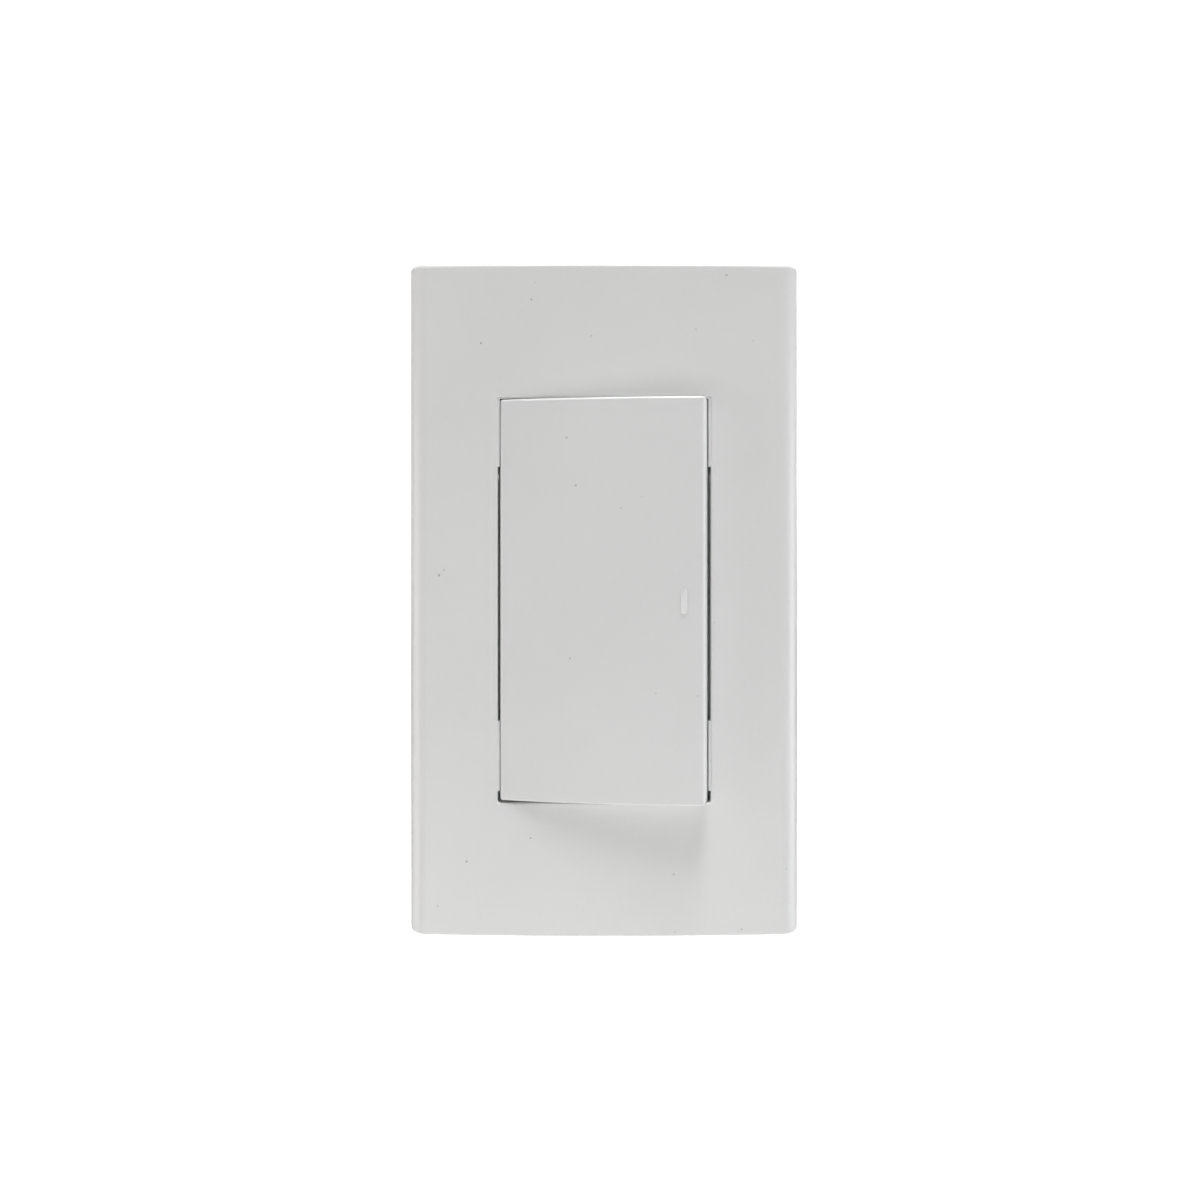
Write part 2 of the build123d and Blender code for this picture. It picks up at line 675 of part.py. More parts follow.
def make_module_cover():
    body = slab_y(module_outline(), module_front, module_split)
    body -= slab_y(module_outline(module_wall), module_front + module_wall, module_split + 1)
    body += rivet_bosses(module_front + 0.5, module_split)
    # Ears at the top and bottom lie on the front of the strap; wedges catch behind it.
    half = module_height / 2
    width = ear_half_width
    for end in (-1, 1):
        root_in, root_out, ear_tip = end * (half - module_wall), end * half, end * (half + ear_reach)
        body += block(-width, width, ear_front, module_front + 0.5, root_in, root_out)
        body += block(-width, width, ear_front, -strap_thickness, end * (half - 0.2), ear_tip)
        catch = [(catch_play, half - 0.1), (catch_play, half + catch_reach), (catch_back, half - 0.1)]
        body += prism_x([(y, end * z) for y, z in catch], -catch_half_width, catch_half_width)
    # Two brackets carry the handle's hinge pin.
    for end in (-1, 1):
        near = lever_half_height + hinge_bracket_gap
        z0, z1 = sorted((end * near, end * (near + hinge_bracket_width)))
        reach = hinge_lug_radius
        bracket = block(hinge_x - reach, hinge_x + reach, hinge_y, module_front + 0.2, z0, z1)
        bracket += rod_z(hinge_x, hinge_y, reach, z0, z1)
        body += bracket - rod_z(hinge_x, hinge_y, hinge_pin_radius + running_clearance, -40, 40)
    # Cups for the two return springs.
    for end in (-1, 1):
        z = end * return_spring_z
        cup_outer = spring_cup_radius + spring_cup_wall
        body += rod_y(return_spring_x, z, cup_outer, module_front + 0.5, spring_cup_back)
        body -= rod_y(return_spring_x, z, spring_cup_radius, module_front - 1, spring_cup_floor)
    # A window for the drive spring, and two hangers that carry the cam's pin.
    wall_back = module_front + module_wall
    body -= block(cam_x - 3.2, cam_x + 3.2, module_front - 1, wall_back + 1, -2.9, 2.9)
    for end in (-1, 1):
        z0, z1 = sorted((end * (cam_half_width + 0.5), end * (cam_half_width + 2.1)))
        hanger = block(cam_x - 3.0, cam_x + 3.0, module_front + 1, cam_y, z0, z1)
        hanger += rod_z(cam_x, cam_y, 3.0, z0, z1)
        body += hanger - rod_z(cam_x, cam_y, cam_pin_radius + running_clearance, -20, 20)
    # The light guide's window.
    guide_window = Pos(lens_x, lamp_z) * SlotOverall(5.6, 2.6, rotation=90)
    body -= slab_y(guide_window, module_front - 1, wall_back + 1)
    for x, z in rivet_places():
        body -= rod_y(x, z, rivet_radius + running_clearance, module_front - 1, module_split + 1)
    return one(body)


def wire_places():
    return [(sx * wire_pitch / 2, sz * wire_z) for sz in (-1, 1) for sx in (-1, 1)]


def make_module_base():
    inner_floor = module_back - module_floor
    body = slab_y(module_outline(), module_split, module_back)
    back_edges = [e for e in body.edges() if e.center().Y > module_back - 0.01]
    body = chamfer(back_edges, 0.6)
    body -= slab_y(module_outline(module_wall), module_split - 1, inner_floor)
    floor_in = inner_floor + 0.1  # what stands on the floor starts just inside it
    body += rivet_bosses(module_split, floor_in)
    # Partitions between the wire chambers and the mechanism, open where a terminal passes.
    inner_x = module_width / 2 - module_wall + 0.1
    for end in (-1, 1):
        z0, z1 = sorted((end * partition_z, end * (partition_z + 1.0)))
        body += block(-inner_x, inner_x, partition_front, floor_in, z0, z1)
        gap0, gap1 = sorted((-end * (foot_inner_x - 0.2), -end * (foot_outer_x + 0.2)))
        body -= block(gap0, gap1, 22.6, terminal_foot + 0.2, z0 - 1, z1 + 1)
        body -= block(lead_end_x, lens_x, partition_front - 1, lead_y + 2 * lead_radius, z0 - 1, z1 + 1)
        # Guides at both edges of each terminal's clamping wall, and a rib behind it.
        near, far = end * (terminal_z - 1.1), end * (terminal_z + 1.5)
        behind = end * (terminal_z + terminal_wall / 2 + 0.1)
        for side in (-1, 1):
            edge = side * (terminal_half_width + 0.1)
            body += block(edge, edge + side * 1.2, terminal_front + 2.0, floor_in, near, far)
        body += block(-3, 3, terminal_front + 2.5, floor_in, behind, behind + end)
    # A ledge that carries the lamp's board.
    board_back = lamp_board_y + lamp_board_thickness
    ledge_half = lamp_board_half_height
    body += block(lens_x + 1.4, inner_x, board_back, floor_in, -ledge_half, ledge_half)
    # Pads that the terminals stand on, and bosses round the wire holes.
    body += block(-5.2, 9.0, terminal_foot, floor_in, -19.0, 19.0)
    for x, z in wire_places():
        body += rod_y(x, z, wire_hole_radius + 1.2, terminal_foot, floor_in)
    mouth, funnel_start = wire_hole_radius + wire_funnel, module_back - wire_funnel
    for x, z in wire_places():
        body -= rod_y(x, z, wire_hole_radius, module_split, module_back + 1)
        body -= cone_y(x, z, wire_hole_radius, mouth, funnel_start, module_back + 0.001)
    for end in (-1, 1):
        half_l = lever_width / 2 + lever_slot_clearance
        half_t = lever_thickness / 2 + lever_slot_clearance
        z = end * lever_z
        body -= block(-half_l, half_l, terminal_foot - 6, module_back + 1, z - half_t, z + half_t)
        # A shallow gauge groove that shows how much of the wire to bare.
        body -= slab_y(Pos(0, end * 19.4) * SlotOverall(11.0, 1.6), module_back - 0.4, module_back + 1)
        # Seats under each lock spring's bend.
        seat_in, seat_out = end * (partition_z + 0.9), end * (spring_leg_z + 2.0)
        for x in (-wire_pitch / 2, wire_pitch / 2):
            body += block(x - 1.5, x + 1.5, terminal_foot - 1.3, terminal_foot, seat_in, seat_out)
    for x, z in rivet_places():
        body -= rod_y(x, z, rivet_radius + running_clearance, module_split - 1, module_back + 1)
    return one(body)


def make_case_rivets():
    rivets = []
    for x, z in rivet_places():
        rivet = rod_y(x, z, rivet_radius, module_front, module_back)
        for seat, outward in ((module_front, -1), (module_back, 1)):
            outer = seat + outward * rivet_head_height
            head = rod_y(x, z, rivet_head_radius, min(seat, outer), max(seat, outer))
            edge = [e for e in head.edges() if abs(e.center().Y - outer) < 0.01]
            rivet += fillet(edge, rivet_head_height * 0.7)
        rivet -= cone_y(x, z, 0.45, 0.75, module_back - 1.0, module_back + rivet_head_height + 0.01)
        rivets.append(rivet.solids()[0])
    return Compound(children=rivets)


# The mechanism.
def make_toggle_cam():
    """Drawn level, then turned to its off position. Its shoulders point at -Y, its spring boss at +Y."""
    width = cam_half_width
    wings = Polyline(
        (cam_x - 5.4, cam_y - 4.6),
        (cam_x - 4.0, cam_y - 4.6),
        (cam_x - 1.5, cam_y - 2.6),
        (cam_x + 1.5, cam_y - 2.6),
        (cam_x + 4.0, cam_y - 4.6),
        (cam_x + 5.4, cam_y - 4.6),
        (cam_x + 5.4, cam_y - 3.2),
        (cam_x + 2.0, cam_y + 1.6),
        (cam_x - 2.0, cam_y + 1.6),
        (cam_x - 5.4, cam_y - 3.2),
        close=True,
    )
    body = slab(make_face(wings), -width, width)
    body = fillet([e for e in body.edges().filter_by(Axis.Z) if e.center().Y < cam_y - 3.0], 0.35)
    body += rod_z(cam_x, cam_y, 2.3, -width, width)
    body += rod_y(cam_x, 0, 1.7, cam_y + 1.0, cam_y + 3.0) + rod_y(cam_x, 0, 0.6, cam_y + 3.0, cam_y + 3.9)
    body -= rod_z(cam_x, cam_y, cam_pin_radius + running_clearance, -10, 10)
    return one(turned(body, cam_x, cam_y, cam_tilt))


def make_cam_pin():
    half = cam_half_width + 2.4
    pin = rod_z(cam_x, cam_y, cam_pin_radius, -half, half)
    return one(chamfer(pin.edges().filter_by(GeomType.CIRCLE), 0.15))


def make_contact_blade():
    """Drawn level, then turned to its open position on the fulcrum."""
    top = blade_pivot_y - 1.2
    blade = block(tip_x - 1.9, 14.4, top, top + blade_thickness, -blade_half_width, blade_half_width)
    blade = fillet(blade.edges().filter_by(Axis.Y), 0.8)
    blade += rod_y(cam_x, 0, 0.6, top - 0.8, top)
    for side in (-1, 1):
        lug_in, lug_out = side * (blade_half_width - 0.7), side * blade_half_width
        blade += block(cam_x - 2.2, cam_x + 2.2, top, top + 1.6, lug_in, lug_out)
    blade -= rod_y(tip_x, 0, 0.8, top - 1, top + 2)
    return one(turned(blade, cam_x, blade_pivot_y, blade_tilt))


def make_moving_tip():
    top = blade_pivot_y - 1.2
    under = top + blade_thickness
    tip = rod_y(tip_x, 0, 0.8, top - 0.25, under) + rod_y(tip_x, 0, 1.1, top - 0.25, top)
    face = rod_y(tip_x, 0, tip_radius, under, under + 0.9)
    face = fillet([e for e in face.edges() if e.center().Y > under + 0.89], 0.4)
    return one(turned(tip + face, cam_x, blade_pivot_y, blade_tilt))


def cam_point(reach):
    """A point on the cam's centre line, at its off position."""
    angle = math.radians(cam_tilt)
    return (cam_x - reach * math.sin(angle), cam_y + reach * math.cos(angle), 0)


def blade_point(reach):
    """A point on the blade's centre line, above its fulcrum, at its open position."""
    angle = math.radians(blade_tilt)
    return (cam_x + reach * math.sin(angle), blade_pivot_y - reach * math.cos(angle), 0)


def make_toggle_spring():
    start, end = Vector(*cam_point(3.0)), Vector(*blade_point(1.2))
    inset = (end - start).normalized() * (toggle_wire + spring_seat)
    return one(coil(start + inset, end - inset, toggle_coil_radius, toggle_wire, toggle_turns))


def make_drive_spring():
    wire, radius = drive_wire, drive_coil_radius
    top, bottom, tip = lever_back + wire + 0.05, drive_coil_foot, cam_y - drive_reach
    spring = coil((cam_x, top, 0), (cam_x, bottom, 0), radius, wire, drive_turns)
    ring = Vector(*(Plane((cam_x, top, 0), z_dir=(0, 1, 0)).from_local_coords((radius, 0, 0))))
    arm = Vector(ring.X, bottom, ring.Z)
    centre = Vector(cam_x, bottom, 0)
    link = centre - arm
    bar = Plane(arm, z_dir=link) * Cylinder(wire, link.length, align=(Align.CENTER, Align.CENTER, Align.MIN))
    spring += bar + Pos(*arm) * Sphere(wire) + Pos(*centre) * Sphere(wire)
    spring += rod_y(cam_x, 0, wire, bottom, tip) + Pos(cam_x, tip, 0) * Sphere(wire)
    return one(spring)


def make_return_springs():
    springs = []
    inset = return_wire + coil_play
    for end in (-1, 1):
        z = end * return_spring_z
        start = (return_spring_x, lever_back + inset, z)
        stop = (return_spring_x, spring_cup_floor - inset, z)
        springs.append(coil(start, stop, return_coil_radius, return_wire, return_turns).solids()[0])
    return Compound(children=springs)


# The terminals.
def terminal_body(side, foot_x0, foot_x1):
    """A clamping wall at z = side * terminal_z, with a foot that runs to the mechanism."""
    z_out = side * (terminal_z + terminal_wall / 2)
    z_in = side * (terminal_z - terminal_wall / 2)
    wall = block(-terminal_half_width, terminal_half_width, terminal_front, terminal_foot, z_in, z_out)
    wall = fillet([e for e in wall.edges().filter_by(Axis.Z) if e.center().Y < terminal_front + 0.1], 1.0)
    foot_front = terminal_foot - terminal_wall
    return wall + block(foot_x0, foot_x1, foot_front, terminal_foot, z_out, -side * 2.6)


def make_common_terminal():
    foot_front = terminal_foot - terminal_wall
    body = terminal_body(-1, foot_inner_x, foot_outer_x)
    body += block(foot_inner_x, 8.6, foot_front, terminal_foot, -2.6, 2.6)
    body += block(cam_x - 0.6, cam_x + 0.6, blade_pivot_y - 0.3, foot_front, -1.6, 1.6)
    return one(body)


def make_switched_terminal():
    body = terminal_body(1, -foot_outer_x, -foot_inner_x)
    body += block(-foot_outer_x, -0.4, terminal_foot - terminal_wall, terminal_foot, -2.6, 2.6)
    body -= rod_y(tip_x, 0, 0.7, 10, 30)
    return one(body)


def make_fixed_contact():
    foot_front = terminal_foot - terminal_wall
    face = rod_y(tip_x, 0, tip_radius, blade_pivot_y + 1.4, foot_front)
    face = fillet([e for e in face.edges() if e.center().Y < blade_pivot_y + 1.41], 0.25)
    return one(face + rod_y(tip_x, 0, 0.7, foot_front, terminal_foot - 0.05))


def lock_spring(x, side):
    """A bent leaf. Its tongue leans on the clamping wall, and bites a wire that is pulled back."""
    route = [(0, y, side * (spring_leg_z + out)) for out, y in leaf_route]
    line = FilletPolyline(*route, radius=list(leaf_bends))
    start = Plane(line @ 0, x_dir=(1, 0, 0), z_dir=line % 0)
    return Pos(x, 0, 0) * sweep(start * Rectangle(2 * leaf_half_width, leaf_thickness), line)


def make_lock_springs(side):
    springs = [lock_spring(x, side) for x in (-wire_pitch / 2, wire_pitch / 2)]
    return Compound(children=[s.solids()[0] for s in springs])


def make_release_lever(side):
    """A plastic slider. A screwdriver's tip pushes it in, and it lifts both tongues off their wires."""
    z0, z1 = side * (lever_z - lever_thickness / 2), side * (lever_z + lever_thickness / 2)
    lever_back_y = module_back - 0.5
    stem = block(-lever_width / 2, lever_width / 2, lever_front, lever_back_y, z0, z1)
    wing = foot_outer_x
    wing_in, wing_out = side * (lever_z - 0.3), side * (lever_wing_z + 1.3)
    stem += block(-wing, wing, lever_wing_front, lever_wing_back, wing_in, wing_out)
    stem -= block(-wing - 1, -lever_width / 2, 0, module_back, side * 10, side * lever_wing_z)
    stem -= block(lever_width / 2, wing + 1, 0, module_back, side * 10, side * lever_wing_z)
    groove = Pos(0, side * lever_z) * Rectangle(driver_groove_length, driver_groove_width)
    stem -= slab_y(groove, lever_back_y - driver_groove_depth, module_back)
    return one(stem)


# The pilot lamp.
def make_lamp_board():
    x0, x1, half = lens_x - lamp_board_inner, lens_x + lamp_board_outer, lamp_board_half_height
    board = block(x0, x1, lamp_board_y, lamp_board_y + lamp_board_thickness, -half, half)
    for z in (-lead_z, lead_z):
        board -= rod_y(lens_x, z, lead_radius + part_lift, 0, 20)
    return one(board)


def make_indicator_lamp():
    z, x = lamp_z, lens_x
    flange, dome = lamp_board_y - lamp_flange_height, lamp_board_y - lamp_height
    base = rod_y(x, z, lamp_radius + lamp_flange, flange, lamp_board_y)
    bulb = rod_y(x, z, lamp_radius, dome, flange)
    bulb += Pos(x, dome, z) * Sphere(lamp_radius)
    return one(base + bulb)


def make_light_guide():
    top, foot = module_front - 0.3, lamp_board_y - lamp_height - lamp_radius - 0.3
    pipe = Pos(lens_x, lamp_z) * SlotOverall(4.8, 1.9, rotation=90)
    flare = Pos(lens_x, lamp_z) * SlotOverall(6.4, 3.2, rotation=90)
    shoulder = module_front + module_wall + 0.05
    return one(slab_y(pipe, top, foot) + slab_y(flare, shoulder, shoulder + 0.8))


def make_lamp_resistor():
    y = lamp_board_y - resistor_radius - part_lift
    half = resistor_half_length
    body = rod_x(y, resistor_z, resistor_radius, lens_x - half, lens_x + half)
    return one(fillet(body.edges().filter_by(GeomType.CIRCLE), 0.25))


def make_lamp_diode():
    y = lamp_board_y - diode_radius - part_lift
    half = diode_half_length
    body = rod_x(y, diode_z, diode_radius, lens_x - half, lens_x + half)
    return one(fillet(body.edges().filter_by(GeomType.CIRCLE), 0.2))


def lamp_lead(side):
    """A wire from the board to one terminal's clamping wall."""
    wall = side * (terminal_z - terminal_wall / 2 - part_lift)
    start = lamp_board_y + lamp_board_thickness
    points = [(lens_x, start, side * lead_z), (lens_x, lead_y, side * lead_z), (lead_end_x, lead_y, wall)]
    line = FilletPolyline(*points, radius=lead_bend)
    first = line.edges()[0]
    section = Plane(line @ 0, z_dir=first % 0) * Circle(lead_radius)
    return sweep(section, line)


def make_lamp_leads():
    return Compound(children=[lamp_lead(side).solids()[0] for side in (-1, 1)])


PIECES = {
    "cover_plate": make_cover_plate,
    "plate_frame": make_plate_frame,
    "mounting_strap": make_mounting_strap,
    "box_screws": make_box_screws,
    "screw_retainers": make_screw_retainers,
    "plate_screws": make_plate_screws,
    "handle": make_handle,
    "indicator_lens": make_indicator_lens,
    "operating_plate": make_operating_plate,
    "hinge_pin": make_hinge_pin,
    "return_springs": make_return_springs,
    "drive_spring": make_drive_spring,
    "module_cover": make_module_cover,
    "module_base": make_module_base,
    "case_rivets": make_case_rivets,
    "toggle_cam": make_toggle_cam,
    "cam_pin": make_cam_pin,
    "toggle_spring": make_toggle_spring,
    "contact_blade": make_contact_blade,
    "moving_tip": make_moving_tip,
    "fixed_contact": make_fixed_contact,
    "common_terminal": make_common_terminal,
    "switched_terminal": make_switched_terminal,
    "common_lock_springs": lambda: make_lock_springs(-1),
    "switched_lock_springs": lambda: make_lock_springs(1),
    "common_release_lever": lambda: make_release_lever(-1),
    "switched_release_lever": lambda: make_release_lever(1),
    "light_guide": make_light_guide,
    "indicator_lamp": make_indicator_lamp,
    "lamp_board": make_lamp_board,
    "lamp_resistor": make_lamp_resistor,
    "lamp_diode": make_lamp_diode,
    "lamp_leads": make_lamp_leads,
}


def main():
    os.makedirs("parts", exist_ok=True)
    for name, make in PIECES.items():
        export_step(make(), f"parts/{name}.step")
        print("wrote", name)


main()
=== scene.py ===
import json
import math
import bmesh
import bpy
from mathutils import Matrix, Vector


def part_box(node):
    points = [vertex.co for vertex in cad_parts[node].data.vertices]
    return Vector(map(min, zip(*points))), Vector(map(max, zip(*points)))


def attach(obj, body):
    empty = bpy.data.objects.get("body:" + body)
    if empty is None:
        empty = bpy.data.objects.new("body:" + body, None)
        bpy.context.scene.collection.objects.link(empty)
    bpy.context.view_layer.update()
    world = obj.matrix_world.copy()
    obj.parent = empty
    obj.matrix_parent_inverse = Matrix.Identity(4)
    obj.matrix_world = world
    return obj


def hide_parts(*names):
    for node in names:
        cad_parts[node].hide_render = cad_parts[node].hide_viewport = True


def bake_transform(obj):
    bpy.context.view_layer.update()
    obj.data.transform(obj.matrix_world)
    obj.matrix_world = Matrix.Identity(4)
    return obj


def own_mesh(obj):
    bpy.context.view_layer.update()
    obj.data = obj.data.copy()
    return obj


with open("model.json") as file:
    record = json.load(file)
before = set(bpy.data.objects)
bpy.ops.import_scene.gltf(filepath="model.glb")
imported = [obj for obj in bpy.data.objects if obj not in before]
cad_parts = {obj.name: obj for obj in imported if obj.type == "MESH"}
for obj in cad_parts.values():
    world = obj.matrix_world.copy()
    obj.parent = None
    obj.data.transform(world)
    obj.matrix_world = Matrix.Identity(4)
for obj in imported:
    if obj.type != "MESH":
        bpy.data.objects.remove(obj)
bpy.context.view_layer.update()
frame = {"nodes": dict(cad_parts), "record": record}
mm = 0.001
nodes = frame["nodes"]
print("frame loaded:", len(nodes), "nodes")


# The camera looks straight at the plate, level, a little above its middle.
cameraSetup = {
    "distance": 182 * mm,       # from the middle of the plate's front
    "viewWidth": 213.0 * mm,    # how much is seen across, at that distance
    "right": -0.75 * mm,
    "lift": 9.7 * mm,
}


def addCamera(setup):
    low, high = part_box("cover_plate")
    middle = (low + high) / 2
    data = bpy.data.cameras.new("camera")
    data.sensor_width = 36
    data.lens = data.sensor_width * setup["distance"] / setup["viewWidth"]
    data.shift_y = -setup["lift"] / setup["viewWidth"]
    data.clip_start = 0.01
    camera = bpy.data.objects.new("camera", data)
    camera.location = (middle.x + setup["right"], low.y - setup["distance"], middle.z + setup["lift"])
    camera.rotation_euler = (math.radians(90), 0, 0)
    bpy.context.scene.collection.objects.link(camera)
    bpy.context.scene.camera = camera


addCamera(cameraSetup)


# Material helpers. Patterns are laid out in millimetres on Object coordinates.
def startMaterial(name):
    material = bpy.data.materials.new(name)
    material.use_nodes = True
    return material, material.node_tree, material.node_tree.nodes["Principled BSDF"]


def addNode(tree, kind, settings=None, **inputs):
    made = tree.nodes.new(kind)
    for key, value in (settings or {}).items():
        setattr(made, key, value)
    for key, value in inputs.items():
        socket = made.inputs[int(key[1:])] if key[0] == "n" and key[1:].isdigit() else made.inputs[key]
        if isinstance(value, bpy.types.NodeSocket):
            tree.links.new(value, socket)
        else:
            socket.default_value = value
    return made


def layout(tree, stretch=(1, 1, 1), turn=(0, 0, 0)):
    place = addNode(tree, "ShaderNodeTexCoord").outputs["Object"]
    scale = [s / mm for s in stretch]
    return addNode(tree, "ShaderNodeMapping", Vector=place, Scale=scale, Rotation=turn).outputs["Vector"]


def cloud(tree, place, size, detail=3.0, roughness=0.5, distortion=0.0):
    made = addNode(tree, "ShaderNodeTexNoise", Vector=place, Scale=1 / size, Detail=detail)
    made.inputs["Roughness"].default_value = roughness
    made.inputs["Distortion"].default_value = distortion
    return made.outputs["Fac"]


def spread(tree, source, low, high, toLow, toHigh):
    made = addNode(tree, "ShaderNodeMapRange", Value=source)
    for key, value in zip(("From Min", "From Max", "To Min", "To Max"), (low, high, toLow, toHigh)):
        made.inputs[key].default_value = value
    return made.outputs["Result"]


def sums(tree, operation, first, second=0.0, third=0.0):
    made = addNode(tree, "ShaderNodeMath", {"operation": operation}, n0=first, n1=second, n2=third)
    return made.outputs[0]


def blendColors(tree, factor, first, second, how="MIX"):
    made = addNode(tree, "ShaderNodeMix", {"data_type": "RGBA", "blend_type": how}, n0=factor)
    for socket, value in ((made.inputs[6], first), (made.inputs[7], second)):
        if isinstance(value, bpy.types.NodeSocket):
            tree.links.new(value, socket)
        else:
            socket.default_value = (*value[:3], 1)
    return made.outputs[2]


def bump(tree, height, distance, strength=1.0, under=None):
    made = addNode(tree, "ShaderNodeBump", Height=height, Distance=distance, Strength=strength)
    if under is not None:
        tree.links.new(under, made.inputs["Normal"])
    return made.outputs["Normal"]


# The dirt and scratches that all the white mouldings share.
markSetup = {
    "dirtColor": (0.09, 0.085, 0.08),
    "ragged": 1.6,          # scale of the noise that pushes the dots out of round
    "push": 0.045,
    "smallest": 0.35,       # share of the full size
    "palest": 0.25,
    "scratchColor": (0.42, 0.41, 0.4),
    "scratchTint": 0.10,
    "scratchRough": 0.25,
    "scratchEdge": 0.02,
    "scratchStretch": (0.05, 4.5, 4.5),
    "scratchTurns": ((0.2, 0.9, 0.3), (0.1, -0.6, 0.2)),
}


def specks(tree, place, cell, size, share):
    # One dot in some of the cells of a grid of random points, pushed a little out of round.
    ragged = addNode(tree, "ShaderNodeTexNoise", Vector=place, Scale=markSetup["ragged"], Detail=2.0)
    pushed = blendColors(tree, markSetup["push"] * cell, place, ragged.outputs["Color"], "ADD")
    dots = addNode(tree, "ShaderNodeTexVoronoi", Vector=pushed, Scale=1 / cell)
    pick = addNode(tree, "ShaderNodeSeparateColor", Color=dots.outputs["Color"])
    radius = spread(tree, pick.outputs[1], 0, 1, markSetup["smallest"] * size / cell, size / cell)
    inside = sums(tree, "LESS_THAN", dots.outputs["Distance"], radius)
    chosen = sums(tree, "LESS_THAN", pick.outputs[0], share)
    weight = spread(tree, pick.outputs[2], 0, 1, markSetup["palest"], 1.0)
    return sums(tree, "MULTIPLY", sums(tree, "MULTIPLY", inside, chosen), weight)


def scratches(tree, turn, share):
    # The crests of a noise that is turned and then drawn out into long thin lines.
    stretch = markSetup["scratchStretch"]
    drawn = addNode(tree, "ShaderNodeMapping", Vector=layout(tree, turn=turn), Scale=stretch)
    lines = cloud(tree, drawn.outputs["Vector"], 1.0, 2.0, 0.5, 0.3)
    return spread(tree, lines, share, share + markSetup["scratchEdge"], 0.0, 1.0)


def plastic(name, look):
    material, tree, shader = startMaterial(name)
    place = layout(tree)
    tone = cloud(tree, place, look["cloud"], 3.0)
    color = blendColors(tree, spread(tree, tone, 0.3, 0.7, 0, 1), look["color"], look["shade"])
    rough = cloud(tree, place, look["cloud"] * 0.6, 4.0, 0.6)
    roughness = spread(tree, rough, 0.3, 0.7, look["rough"][0], look["rough"][1])
    if look.get("specks"):
        dirt = sums(tree, "MULTIPLY", specks(tree, place, *look["specks"]), look["dirtDepth"])
        color = blendColors(tree, dirt, color, markSetup["dirtColor"])
    if look.get("scratch"):
        both = [scratches(tree, turn, look["scratch"]) for turn in markSetup["scratchTurns"]]
        marks = sums(tree, "MAXIMUM", *both)
        tint = sums(tree, "MULTIPLY", marks, markSetup["scratchTint"])
        color = blendColors(tree, tint, color, markSetup["scratchColor"])
        roughness = sums(tree, "MULTIPLY_ADD", marks, markSetup["scratchRough"], roughness)
    tree.links.new(color, shader.inputs["Base Color"])
    tree.links.new(roughness, shader.inputs["Roughness"])
    grain = cloud(tree, place, look["grain"], 2.0, 0.6)
    normal = bump(tree, grain, look["grainDepth"] * mm)
    if look.get("wave"):
        normal = bump(tree, cloud(tree, place, look["wave"], 1.0), look["waveDepth"] * mm, 1.0, normal)
    tree.links.new(normal, shader.inputs["Normal"])
    shader.inputs["IOR"].default_value = look.get("ior", 1.5)
    shader.inputs["Transmission Weight"].default_value = look.get("clear", 0.0)
    return material


def metal(name, look):
    material, tree, shader = startMaterial(name)
    place = layout(tree)
    streaks = cloud(tree, layout(tree, look["brush"]), 1.0, 3.0, 0.6)
    stain = cloud(tree, place, look["stain"], 4.0, 0.6, 0.6)
    color = blendColors(tree, spread(tree, stain, 0.35, 0.7, 0, 1), look["color"], look["tarnish"])
    color = blendColors(tree, spread(tree, streaks, 0.35, 0.75, 0, 0.35), color, look["shade"])
    tree.links.new(color, shader.inputs["Base Color"])
    mixed = sums(tree, "ADD", sums(tree, "MULTIPLY", streaks, 0.5), sums(tree, "MULTIPLY", stain, 0.5))
    tree.links.new(spread(tree, mixed, 0.35, 0.65, *look["rough"]), shader.inputs["Roughness"])
    fine = bump(tree, streaks, look["brushDepth"] * mm)
    tree.links.new(bump(tree, cloud(tree, place, 1.7, 2.0), 0.01 * mm, 1.0, fine), shader.inputs["Normal"])
    shader.inputs["Metallic"].default_value = 1.0
    return material


